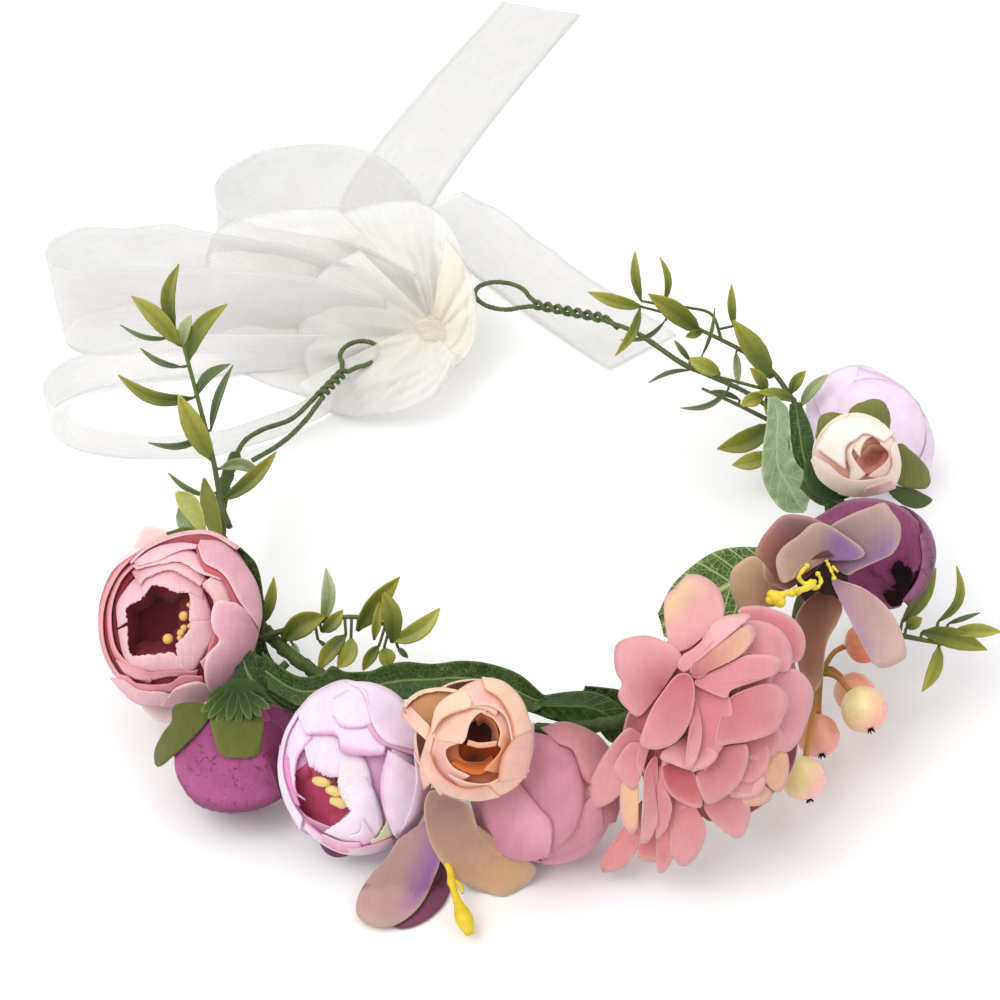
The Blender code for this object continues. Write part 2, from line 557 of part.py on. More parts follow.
# plastic sprigs
node("sprig_left", sprig([PIV_SPRIG_L, (-93.2, -10, 36), (-96.0, 0, 46), (-100.5, 12, 59), (-105.5, 24, 74)], [
    (0.10, (0.7, -0.1, 0.6), 12), (0.20, (-0.7, 0.2, 0.55), 12), (0.34, (0.62, 0.3, 0.5), 16), (0.40, (-0.85, 0.1, 0.35), 17),
    (0.55, (0.5, 0.3, 0.7), 15), (0.60, (-0.95, -0.1, 0.2), 17), (0.72, (-0.8, 0.1, 0.4), 13), (0.80, (0.55, 0.5, 0.6), 16),
    (0.90, (-0.7, 0.3, 0.65), 17), (0.99, (0.05, 0.5, 0.9), 17)], n=9), "sprig_plastic", "bend_sprig_left")
node("sprig_mid", sprig([PIV_SPRIG_M, (-62, -58.5, 33), (-50, -57.5, 34.5), (-39, -60, 33)], [
    (0.10, (0.1, 0.5, 0.85), 16), (0.32, (-0.2, 0.75, 0.6), 14), (0.48, (0.1, 0.55, 0.85), 17), (0.52, (0.3, -0.3, 0.75), 12),
    (0.72, (0.0, 0.85, 0.6), 16), (0.86, (0.65, 0.1, 0.75), 15), (0.99, (0.85, 0.25, 0.35), 17)], n=7),
    "sprig_plastic", "bend_sprig_mid")
node("sprig_upper", sprig([PIV_SPRIG_U, (81.2, 50.7, 39), (70.4, 57.8, 43), (59, 63.4, 46), (47.3, 69.1, 49)], [
    (0.12, (0.4, 0.1, 0.9), 14), (0.30, (-0.1, 0.6, 0.8), 17), (0.36, (-0.4, -0.7, 0.45), 14), (0.55, (-0.3, 0.65, 0.75), 17),
    (0.62, (-0.8, -0.45, 0.35), 14), (0.80, (-0.15, 0.8, 0.65), 16), (0.86, (-0.9, -0.1, 0.25), 13), (0.99, (-0.85, 0.45, 0.35), 16)], n=8),
    "sprig_plastic", "bend_sprig_upper")
node("sprig_lower", sprig([(80, 41.5, 26.2), (70, 51.0, 25.4), (60.0, 59.5, 24.8)], [
    (0.25, (-0.5, -0.75, -0.1), 14), (0.5, (-0.75, -0.6, 0.1), 15), (0.75, (-0.85, -0.5, -0.2), 12), (0.99, (-0.8, -0.35, -0.1), 12)], n=6, r=0.8),
    "sprig_plastic", "bend_right_arm")
node("sprig_front", sprig([PIV_SPRIG_F, (113, -58.5, 26.5), (122, -60, 25.5)], [
    (0.30, (0.55, 0.6, 0.65), 16), (0.40, (0.6, -0.7, -0.1), 14), (0.62, (0.5, 0.35, 0.8), 14), (0.74, (0.65, -0.75, 0.15), 15),
    (0.99, (0.97, 0.1, 0.1), 16)], n=5), "sprig_plastic", "bend_sprig_front")

# organza ribbon: knot, three loops and two tails, all beyond the left eye
KN = V(-33.0, 101.5, 14.2)
up = (0, 0, 1)
node("ribbon_knot", oval(KN, (0.2, -0.9, 0.2), 13.0, 12.0, 12.0, 12, 6), "organza", "bend_left_arm")
node("ribbon_loop_top", strip([(-28.5, 119.5, 20), (-33, 138, 20), (-39, 163, 20), (-56, 185, 20), (-79, 193, 20), (-103, 184, 20),
                               (-114.5, 163, 20), (-103, 142, 20), (-80, 133, 20), (-58, 127, 20), (-38, 117.2, 20)],
                              up, 36, RIBBON_T + 0.4, 26), "organza", "bend_left_arm")
node("ribbon_loop_left", strip([(-47.5, 113.0, 20), (-70, 121.5, 20), (-102, 131, 20), (-140, 137.5, 20), (-163, 133, 20), (-168.5, 121, 20),
                                (-160, 110.5, 20), (-130, 111, 20), (-95, 109.5, 20), (-66, 106.5, 20), (-48, 104.3, 20)],
                               up, 36, RIBBON_T + 0.4, 24), "organza", "bend_left_arm")
node("ribbon_loop_lower", strip([(-47.5, 98.5, 7.5), (-75, 99.5, 8), (-110, 99, 8.5), (-142, 93.5, 9), (-163, 80, 9), (-163, 64, 9),
                                 (-148, 52.5, 8), (-125, 48.5, 8), (-100, 52, 8), (-76, 66, 7.5), (-62, 80.5, 7), (-46.5, 92.0, 7)],
                                lambda s: V(0, 0, 1), 13.5, RIBBON_T + 0.4, 28), "organza", "bend_left_arm")
node("ribbon_tail_long", strip([(-38, 128, RIBBON_T / 2), (-49, 165, RIBBON_T / 2), (-54, 203, RIBBON_T / 2), (-45, 237, RIBBON_T / 2), (-20, 300, RIBBON_T / 2), (11, 371, RIBBON_T / 2)],
                               (0.93, -0.3, 0), RIBBON_W, RIBBON_T, 10), "organza", "bend_left_arm")
node("ribbon_tail_right", strip([(-17.0, 187, RIBBON_T / 2), (-5, 170, RIBBON_T / 2), (18, 141, RIBBON_T / 2), (43, 112, RIBBON_T / 2)],
                                lambda s: V(0.78, 0.63, 0), 30, RIBBON_T, 6), "organza", "bend_left_arm")
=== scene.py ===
"""Looks of the flower crown: cloth petals, printed leaves, moulded sprigs, berries,
wrapped wires and organza ribbon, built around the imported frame."""
import bpy
import math
import numpy as np
from mathutils import Vector, Matrix


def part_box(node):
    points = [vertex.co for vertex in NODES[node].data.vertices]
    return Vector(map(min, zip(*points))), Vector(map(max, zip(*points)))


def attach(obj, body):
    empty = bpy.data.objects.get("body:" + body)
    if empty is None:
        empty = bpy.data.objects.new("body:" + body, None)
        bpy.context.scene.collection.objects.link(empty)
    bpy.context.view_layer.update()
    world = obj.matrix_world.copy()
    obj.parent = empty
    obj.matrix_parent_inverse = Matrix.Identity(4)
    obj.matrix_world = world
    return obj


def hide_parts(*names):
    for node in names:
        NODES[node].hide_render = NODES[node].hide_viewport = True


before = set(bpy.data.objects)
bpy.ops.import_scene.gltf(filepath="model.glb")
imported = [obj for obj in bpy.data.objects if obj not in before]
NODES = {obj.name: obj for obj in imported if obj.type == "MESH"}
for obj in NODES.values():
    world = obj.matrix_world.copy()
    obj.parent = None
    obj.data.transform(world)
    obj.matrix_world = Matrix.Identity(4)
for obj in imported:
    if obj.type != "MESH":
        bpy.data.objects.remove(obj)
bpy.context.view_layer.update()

# ------------------------------------------------------------------ set-up
MM = 0.001
lo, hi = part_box("wire_front")
BENCH = np.array([15.4, -118.9, 0.0])          # ring centre in the row frame, mm (as in the CAD)
ELEV = math.radians(42.0)
RV = np.array([1.0, 0, 0])                     # design plane: right, up and towards the viewer
BV = np.array([0, -math.cos(ELEV), math.sin(ELEV)])
UV_ = np.cross(BV, RV)
V = lambda *a: np.array(a, float)

def unit(v):
    v = np.asarray(v, float)
    n = np.linalg.norm(v)
    return v / n if n > 1e-12 else v

def lin(r, g, b):
    out = []
    for c in (r, g, b):
        c = c / 255.0
        out.append(c / 12.92 if c <= 0.04045 else ((c + 0.055) / 1.055) ** 2.4)
    return np.array(out)

def smooth_path(pts, n):
    P = np.array(pts, float)
    if len(P) == 2:
        return np.array([P[0] + (P[1] - P[0]) * t for t in np.linspace(0, 1, n)])
    Q = np.vstack([2 * P[0] - P[1], P, 2 * P[-1] - P[-2]])
    out = []
    for i in range(1, len(Q) - 2):
        for t in np.linspace(0, 1, 24, endpoint=False):
            a, b, c, d = Q[i - 1], Q[i], Q[i + 1], Q[i + 2]
            out.append(0.5 * (2 * b + (c - a) * t + (2 * a - 5 * b + 4 * c - d) * t * t
                              + (3 * b - a - 3 * c + d) * t ** 3))
    out.append(P[-1])
    out = np.array(out)
    s = np.concatenate([[0], np.cumsum(np.linalg.norm(np.diff(out, axis=0), axis=1))])
    u = np.linspace(0, s[-1], n)
    return np.stack([np.interp(u, s, out[:, k]) for k in range(3)], 1)

def frames(P):
    T = np.gradient(P, axis=0)
    T /= np.linalg.norm(T, axis=1)[:, None]
    a = V(0, 0, 1) if abs(T[0][2]) < 0.9 else V(1, 0, 0)
    N = [unit(np.cross(T[0], a))]
    for i in range(1, len(P)):
        N.append(unit(N[-1] - T[i] * (N[-1] @ T[i])))
    N = np.array(N)
    return T, N, np.cross(T, N)

def axes_of(n):
    n = unit(n)
    u = np.cross(V(0, 0, 1), n)
    u = unit(u) if np.linalg.norm(u) > 1e-3 else V(1, 0, 0)
    return u, np.cross(n, u), n

class Waves:
    """Smooth repeatable noise: a sum of a few sine waves."""
    def __init__(self, seed, n=5, f0=1.0):
        r = np.random.RandomState(seed)
        self.f = f0 * (0.6 + 1.1 * np.arange(1, n + 1) * (0.8 + 0.4 * r.rand(n)))
        self.p = r.rand(n) * 2 * math.pi
        self.a = 1.0 / np.arange(1, n + 1) ** 0.8
        self.a /= self.a.sum()
    def __call__(self, x):
        return sum(a * np.sin(f * x + p) for a, f, p in zip(self.a, self.f, self.p))

# ------------------------------------------------------------- mesh gathering
class Acc:
    def __init__(self):
        self.v, self.f, self.uv, self.c, self.st = [], [], [], [], []
        self.n = 0
    def grid(self, P, uv, col, st=None, close_u=False, flip=False):
        nu, nv = P.shape[:2]
        base = self.n
        self.v.append(P.reshape(-1, 3))
        self.uv.append(uv.reshape(-1, 2))
        self.c.append(np.broadcast_to(col, P.shape).reshape(-1, 3))
        if st is None:
            st = np.stack(np.meshgrid(np.linspace(0, 1, nu), np.linspace(0, 1, nv), indexing="ij"), 2)
        self.st.append(st.reshape(-1, 2))
        iu = nu if close_u else nu - 1
        for i in range(iu):
            for j in range(nv - 1):
                a, b = base + i * nv + j, base + ((i + 1) % nu) * nv + j
                q = (a, b, b + 1, a + 1)
                self.f.append(q[::-1] if flip else q)
        self.n += nu * nv
        return base
    def cap(self, idx):
        self.f.append(tuple(idx))

MATS = {}
def make(name, acc, mat, body, replaces=(), thick=0.0, mat_in=None, sub=0, offset=0.0):
    vs = np.vstack(acc.v)
    uv = np.vstack(acc.uv)
    col = np.vstack(acc.c)
    st = np.vstack(acc.st)
    me = bpy.data.meshes.new(name)
    me.from_pydata([tuple(p) for p in (vs + BENCH) * MM], [], acc.f)
    ul = me.uv_layers.new(name="UVMap")
    li = np.zeros(len(me.loops), np.int32)
    me.loops.foreach_get("vertex_index", li)
    ul.data.foreach_set("uv", uv[li].astype(np.float32).ravel())
    ca = me.color_attributes.new("pcol", "FLOAT_COLOR", "POINT")
    ca.data.foreach_set("color", np.hstack([col, np.ones((len(col), 1))]).astype(np.float32).ravel())
    sa = me.color_attributes.new("pst", "FLOAT_COLOR", "POINT")
    sa.data.foreach_set("color", np.hstack([st, np.zeros((len(st), 1)), np.ones((len(st), 1))]).astype(np.float32).ravel())
    me.materials.append(MATS[mat])
    if mat_in:
        me.materials.append(MATS[mat_in])
    me.shade_smooth()
    ob = bpy.data.objects.new(name, me)
    bpy.context.scene.collection.objects.link(ob)
    if sub:
        m = ob.modifiers.new("sub", "SUBSURF")
        m.levels = m.render_levels = sub
    if thick:
        m = ob.modifiers.new("solid", "SOLIDIFY")
        m.thickness = thick * MM
        m.offset = offset
        m.use_even_offset = False
        if mat_in:
            m.material_offset = 1
            m.material_offset_rim = 0
    if body:
        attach(ob, body)
    if replaces:
        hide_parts(*replaces)
    return ob

# ----------------------------------------------------------------- materials
def new_mat(name):
    m = bpy.data.materials.new(name)
    m.use_nodes = True
    nt = m.node_tree
    b = nt.nodes["Principled BSDF"]
    MATS[name] = m
    return m, nt, b

def nd(nt, kind, **kw):
    n = nt.nodes.new(kind)
    for k, v in kw.items():
        if k in ("inputs",):
            for a, val in v.items():
                n.inputs[a].default_value = val
        else:
            setattr(n, k, v)
    return n

def math_n(nt, op, a, b=None, clamp=False):
    n = nt.nodes.new("ShaderNodeMath")
    n.operation = op
    n.use_clamp = clamp
    for i, x in enumerate((a, b)):
        if x is None:
            continue
        if isinstance(x, (int, float)):
            n.inputs[i].default_value = x
        else:
            nt.links.new(x, n.inputs[i])
    return n.outputs[0]

def mix_rgb(nt, mode, fac, a, b):
    n = nt.nodes.new("ShaderNodeMix")
    n.data_type = "RGBA"
    n.blend_type = mode
    for i, x in ((0, fac), (6, a), (7, b)):
        if isinstance(x, (int, float)):
            n.inputs[i].default_value = x
        elif isinstance(x, (tuple, list, np.ndarray)):
            n.inputs[i].default_value = (*[float(q) for q in x[:3]], 1)
        else:
            nt.links.new(x, n.inputs[i])
    return n.outputs[2]

def ramp(nt, x, stops):
    n = nt.nodes.new("ShaderNodeValToRGB")
    el = n.color_ramp.elements
    while len(el) > len(stops):
        el.remove(el[-1])
    for i, (p, c) in enumerate(stops):
        e = el[i] if i < len(el) else el.new(p)
        e.position = p
        e.color = (*c, 1) if len(c) == 3 else c
    nt.links.new(x, n.inputs[0])
    return n.outputs[0]

def uv_coord(nt):
    n = nt.nodes.new("ShaderNodeUVMap")
    n.uv_map = "UVMap"
    return n.outputs[0]

def attr(nt, name):
    n = nt.nodes.new("ShaderNodeAttribute")
    n.attribute_name = name
    return n

def scaled(nt, vec, s):
    n = nt.nodes.new("ShaderNodeMapping")
    n.inputs["Scale"].default_value = s
    nt.links.new(vec, n.inputs["Vector"])
    return n.outputs[0]

def noise(nt, vec, scale, detail=2.0, rough=0.5):
    n = nt.nodes.new("ShaderNodeTexNoise")
    n.inputs["Scale"].default_value = scale
    n.inputs["Detail"].default_value = detail
    n.inputs["Roughness"].default_value = rough
    nt.links.new(vec, n.inputs["Vector"])
    return n.outputs[0]

def weave_height(nt, uv, pitch):
    """Plain weave from two sine trains along the cloth's own millimetres."""
    sep = nt.nodes.new("ShaderNodeSeparateXYZ")
    wob = nt.nodes.new("ShaderNodeTexNoise")
    wob.inputs["Scale"].default_value = 0.35
    nt.links.new(uv, wob.inputs["Vector"])
    add = nt.nodes.new("ShaderNodeVectorMath")
    add.operation = "MULTIPLY_ADD"
    nt.links.new(wob.outputs["Color"], add.inputs[0])
    add.inputs[1].default_value = (0.9, 0.9, 0)
    nt.links.new(uv, add.inputs[2])
    nt.links.new(add.outputs[0], sep.inputs[0])
    k = 2 * math.pi / pitch
    sx = math_n(nt, "SINE", math_n(nt, "MULTIPLY", sep.outputs[0], k))
    sy = math_n(nt, "SINE", math_n(nt, "MULTIPLY", sep.outputs[1], k))
    return math_n(nt, "ADD", sx, sy)

def cloth(name, tint=(1, 1, 1), pitch=0.62, rough=0.82, sheen=0.25, bump=0.22, weave_col=0.05,
          vein=0.06, speck=None, sss=0.0, deep=0.0):
    m, nt, b = new_mat(name)
    L = nt.links
    uv = uv_coord(nt)
    col = attr(nt, "pcol").outputs["Color"]
    if tuple(tint) != (1, 1, 1):
        col = mix_rgb(nt, "MULTIPLY", 1.0, col, tint)
    big = noise(nt, uv, 0.11, 3.0)
    col = mix_rgb(nt, "MULTIPLY", 1.0, col, ramp(nt, big, [(0.3, (0.90, 0.89, 0.90)), (0.7, (1.04, 1.03, 1.04))]))
    streak = noise(nt, scaled(nt, uv, (0.9, 0.22, 1)), 1.0, 3.0)
    col = mix_rgb(nt, "MULTIPLY", 1.0, col, ramp(nt, streak, [(0.3, (1 - vein,) * 3), (0.7, (1 + vein * .5,) * 3)]))
    w = weave_height(nt, uv, pitch)
    wn = math_n(nt, "MULTIPLY_ADD", w, 0.25)
    wn.node.inputs[2].default_value = 0.5
    col = mix_rgb(nt, "MULTIPLY", 1.0, col, ramp(nt, wn, [(0.0, (1 - weave_col,) * 3), (1.0, (1 + weave_col * .6,) * 3)]))
    if speck is not None:
        vor = nt.nodes.new("ShaderNodeTexVoronoi")
        vor.feature = "DISTANCE_TO_EDGE"
        vor.inputs["Scale"].default_value = 0.30
        jit = nt.nodes.new("ShaderNodeVectorMath")
        jit.operation = "MULTIPLY_ADD"
        nz = nt.nodes.new("ShaderNodeTexNoise")
        nz.inputs["Scale"].default_value = 0.8
        nz.inputs["Detail"].default_value = 4
        L.new(uv, nz.inputs["Vector"])
        L.new(nz.outputs["Color"], jit.inputs[0])
        jit.inputs[1].default_value = (2.2, 2.2, 0)
        L.new(uv, jit.inputs[2])
        L.new(jit.outputs[0], vor.inputs["Vector"])
        crack = ramp(nt, vor.outputs["Distance"], [(0.0, (1, 1, 1)), (0.05, (0, 0, 0))])
        gate = ramp(nt, noise(nt, uv, 0.16, 2.0), [(0.50, (0, 0, 0)), (0.62, (1, 1, 1))])
        cg = mix_rgb(nt, "MULTIPLY", 1.0, crack, gate)
        sp = ramp(nt, noise(nt, uv, 0.75, 4.0), [(0.63, (0, 0, 0)), (0.67, (1, 1, 1))])
        sp2 = mix_rgb(nt, "ADD", 1.0, cg, mix_rgb(nt, "MULTIPLY", 1.0, sp, (0.6, 0.6, 0.6)))
        fac = nt.nodes.new("ShaderNodeRGBToBW")
        L.new(sp2, fac.inputs[0])
        col = mix_rgb(nt, "MIX", math_n(nt, "MULTIPLY", fac.outputs[0], 0.8, True), col, speck)
    L.new(col, b.inputs["Base Color"])
    rr = ramp(nt, big, [(0.2, (rough - 0.06,) * 3), (0.8, (min(1, rough + 0.08),) * 3)])
    L.new(rr, b.inputs["Roughness"])
    b.inputs["Sheen Weight"].default_value = sheen
    b.inputs["Sheen Roughness"].default_value = 0.45
    b.inputs["Specular IOR Level"].default_value = 0.22
    if sss:
        b.inputs["Subsurface Weight"].default_value = sss
        b.inputs["Subsurface Radius"].default_value = (1.0, 0.45, 0.4)
        b.inputs["Subsurface Scale"].default_value = 0.0025
    h = math_n(nt, "ADD", math_n(nt, "MULTIPLY", w, 0.5), math_n(nt, "MULTIPLY", noise(nt, uv, 2.2, 3.0), 0.9))
    h = math_n(nt, "ADD", h, math_n(nt, "MULTIPLY", streak, 0.8))
    bp = nt.nodes.new("ShaderNodeBump")
    bp.inputs["Strength"].default_value = bump
    bp.inputs["Distance"].default_value = 0.00022
    L.new(h, bp.inputs["Height"])
    L.new(bp.outputs[0], b.inputs["Normal"])
    return m

def leaf_mat(name, dark, light, vein_col, net=0.34, vein_w=0.055, rough=0.5, fac=0.8, chev=True, bump=0.5):
    m, nt, b = new_mat(name)
    L = nt.links
    uv = uv_coord(nt)
    a = attr(nt, "pst")
    sep = nt.nodes.new("ShaderNodeSeparateXYZ")
    L.new(a.outputs["Vector"], sep.inputs[0])
    s_abs = math_n(nt, "ABSOLUTE", math_n(nt, "MULTIPLY_ADD", sep.outputs[0], 2.0))
    s_abs.node.inputs[0].links[0].from_node.inputs[2].default_value = -1.0
    n1 = noise(nt, uv, 0.25, 4.0)
    col = mix_rgb(nt, "MIX", ramp(nt, n1, [(0.3, (0, 0, 0)), (0.7, (1, 1, 1))]), dark, light)
    col = mix_rgb(nt, "MULTIPLY", 1.0, col, attr(nt, "pcol").outputs["Color"])
    # side veins slant forward from the midrib, with a finer net between them
    ph = math_n(nt, "SUBTRACT", math_n(nt, "MULTIPLY", sep.outputs[1], 9.0), math_n(nt, "MULTIPLY", s_abs, 1.7))
    tri = math_n(nt, "ABSOLUTE", math_n(nt, "SUBTRACT", math_n(nt, "FRACT", ph), 0.5))
    side = ramp(nt, tri, [(0.0, (1, 1, 1)), (0.05, (0.5, 0.5, 0.5)), (0.09, (0, 0, 0))])
    mid = ramp(nt, s_abs, [(0.0, (1, 1, 1)), (0.05, (0.7, 0.7, 0.7)), (0.10, (0, 0, 0))])
    vor = nt.nodes.new("ShaderNodeTexVoronoi")
    vor.feature = "DISTANCE_TO_EDGE"
    vor.inputs["Scale"].default_value = net
    L.new(uv, vor.inputs["Vector"])
    cell = ramp(nt, vor.outputs["Distance"], [(0.0, (0.8, 0.8, 0.8)), (vein_w, (0, 0, 0))])
    v = mix_rgb(nt, "LIGHTEN", 1.0, mid, cell)
    if chev:
        v = mix_rgb(nt, "LIGHTEN", 1.0, v, side)
    bw = nt.nodes.new("ShaderNodeRGBToBW")
    L.new(v, bw.inputs[0])
    col = mix_rgb(nt, "MIX", math_n(nt, "MULTIPLY", bw.outputs[0], fac, True), col, vein_col)
    L.new(col, b.inputs["Base Color"])
    b.inputs["Roughness"].default_value = rough
    L.new(ramp(nt, n1, [(0.2, (rough - .08,) * 3), (0.8, (rough + .12,) * 3)]), b.inputs["Roughness"])
    b.inputs["Specular IOR Level"].default_value = 0.4
    h = math_n(nt, "ADD", math_n(nt, "MULTIPLY", bw.outputs[0], 1.2), math_n(nt, "MULTIPLY", weave_height(nt, uv, 0.5), 0.12))
    bp = nt.nodes.new("ShaderNodeBump")
    bp.inputs["Strength"].default_value = bump
    bp.inputs["Distance"].default_value = 0.0003
    L.new(h, bp.inputs["Height"])
    L.new(bp.outputs[0], b.inputs["Normal"])
    return m

def plastic(name, rough=0.42, spec=0.45, bump=0.15, var=0.12, scale=0.5, coat=0.0, tint=None, sss=0.0):
    m, nt, b = new_mat(name)
    uv = uv_coord(nt)
    col = attr(nt, "pcol").outputs["Color"]
    n1 = noise(nt, uv, scale, 4.0)
    col = mix_rgb(nt, "MULTIPLY", 1.0, col, ramp(nt, n1, [(0.3, (1 - var,) * 3), (0.7, (1 + var * .6,) * 3)]))
    nt.links.new(col, b.inputs["Base Color"])
    nt.links.new(ramp(nt, n1, [(0.2, (rough - .06,) * 3), (0.8, (rough + .1,) * 3)]), b.inputs["Roughness"])
    b.inputs["Specular IOR Level"].default_value = spec
    b.inputs["Coat Weight"].default_value = coat
    b.inputs["Coat Roughness"].default_value = 0.2
    if sss:
        b.inputs["Subsurface Weight"].default_value = sss
        b.inputs["Subsurface Radius"].default_value = (1.0, 0.5, 0.3)
        b.inputs["Subsurface Scale"].default_value = 0.003
    bp = nt.nodes.new("ShaderNodeBump")
    bp.inputs["Strength"].default_value = bump
    bp.inputs["Distance"].default_value = 0.0003
    nt.links.new(noise(nt, scaled(nt, uv, (1.5, 0.5, 1)), 1.2, 4.0), bp.inputs["Height"])
    nt.links.new(bp.outputs[0], b.inputs["Normal"])
    return m

def organza(name, colour, alpha):
    m, nt, b = new_mat(name)
    L = nt.links
    uv = uv_coord(nt)
    w = weave_height(nt, uv, 0.5)
    n1 = noise(nt, uv, 0.06, 3.0)
    st = noise(nt, scaled(nt, uv, (0.9, 0.05, 1)), 1.0, 3.0)
    col = mix_rgb(nt, "MULTIPLY", 1.0, colour, ramp(nt, st, [(0.3, (0.95, 0.95, 0.95)), (0.7, (1.03, 1.03, 1.03))]))
    col = mix_rgb(nt, "MULTIPLY", 1.0, col, attr(nt, "pcol").outputs["Color"])
    L.new(col, b.inputs["Base Color"])
    # the woven edge of the ribbon is denser than its sheer middle
    a = attr(nt, "pst")
    sep = nt.nodes.new("ShaderNodeSeparateXYZ")
    L.new(a.outputs["Vector"], sep.inputs[0])
    e = math_n(nt, "ABSOLUTE", math_n(nt, "SUBTRACT", sep.outputs[1], 0.5))
    edge = ramp(nt, e, [(0.455, (0, 0, 0)), (0.475, (1, 1, 1))])
    bw = nt.nodes.new("ShaderNodeRGBToBW")
    L.new(edge, bw.inputs[0])
    al = math_n(nt, "MULTIPLY_ADD", w, 0.05)
    al.node.inputs[2].default_value = alpha
    al = math_n(nt, "ADD", al, math_n(nt, "MULTIPLY", bw.outputs[0], 0.10), True)
    al = math_n(nt, "ADD", al, math_n(nt, "MULTIPLY", math_n(nt, "SUBTRACT", n1, 0.5), 0.25), True)
    L.new(al, b.inputs["Alpha"])
    b.inputs["Roughness"].default_value = 0.5
    b.inputs["Sheen Weight"].default_value = 0.3
    b.inputs["Sheen Roughness"].default_value = 0.3
    b.inputs["Specular IOR Level"].default_value = 0.3
    bp = nt.nodes.new("ShaderNodeBump")
    bp.inputs["Strength"].default_value = 0.2
    bp.inputs["Distance"].default_value = 0.0002
    L.new(math_n(nt, "ADD", math_n(nt, "MULTIPLY", w, 0.4), st), bp.inputs["Height"])
    L.new(bp.outputs[0], b.inputs["Normal"])
    return m

cloth("m_petal")
cloth("m_petal_soft", weave_col=0.03, bump=0.15, vein=0.03)
cloth("m_petal_inner_rose", tint=(0.62, 0.34, 0.36))
cloth("m_petal_inner_peach", tint=(0.90, 0.62, 0.45))
cloth("m_petal_weave", pitch=0.55, weave_col=0.035, bump=0.2, vein=0.04)
cloth("m_petal_crackle", speck=tuple(lin(62, 14, 38)), rough=0.7, bump=0.3, vein=0.1)
cloth("m_petal_orchid", pitch=0.55, weave_col=0.05, bump=0.22, vein=0.04)
cloth("m_sepal", pitch=0.5, rough=0.75, weave_col=0.08, bump=0.3, vein=0.12, sheen=0.1)
leaf_mat("m_leaf_net", tuple(lin(30, 56, 12)), tuple(lin(60, 90, 26)), tuple(lin(164, 184, 104)), net=0.62, vein_w=0.045, chev=False, fac=0.5)
leaf_mat("m_leaf_net2", tuple(lin(54, 88, 32)), tuple(lin(88, 124, 54)), tuple(lin(218, 226, 156)), net=0.50, vein_w=0.06, fac=0.75)
leaf_mat("m_leaf_pale", tuple(lin(128, 152, 112)), tuple(lin(160, 182, 142)), tuple(lin(196, 210, 170)), net=0.25, vein_w=0.03, fac=0.6)
leaf_mat("m_leaf_gloss", tuple(lin(28, 54, 16)), tuple(lin(58, 92, 28)), tuple(lin(110, 142, 56)), net=0.2, vein_w=0.02, rough=0.3, fac=0.4)
plastic("m_sprig", rough=0.42, spec=0.4, var=0.14)
plastic("m_stamen", rough=0.5, var=0.08)
plastic("m_berry", rough=0.28, spec=0.5, var=0.06, scale=0.2, coat=0.15, sss=0.15)
plastic("m_tape", rough=0.7, spec=0.25, bump=0.5, var=0.25, scale=0.8)
plastic("m_paper", rough=0.75, spec=0.2, bump=0.5, var=0.25, scale=1.5)
plastic("m_dark", rough=0.8, spec=0.1)
organza("m_organza", tuple(lin(243, 242, 240)), 0.44)
organza("m_organza_cream", tuple(lin(247, 241, 226)), 0.46)

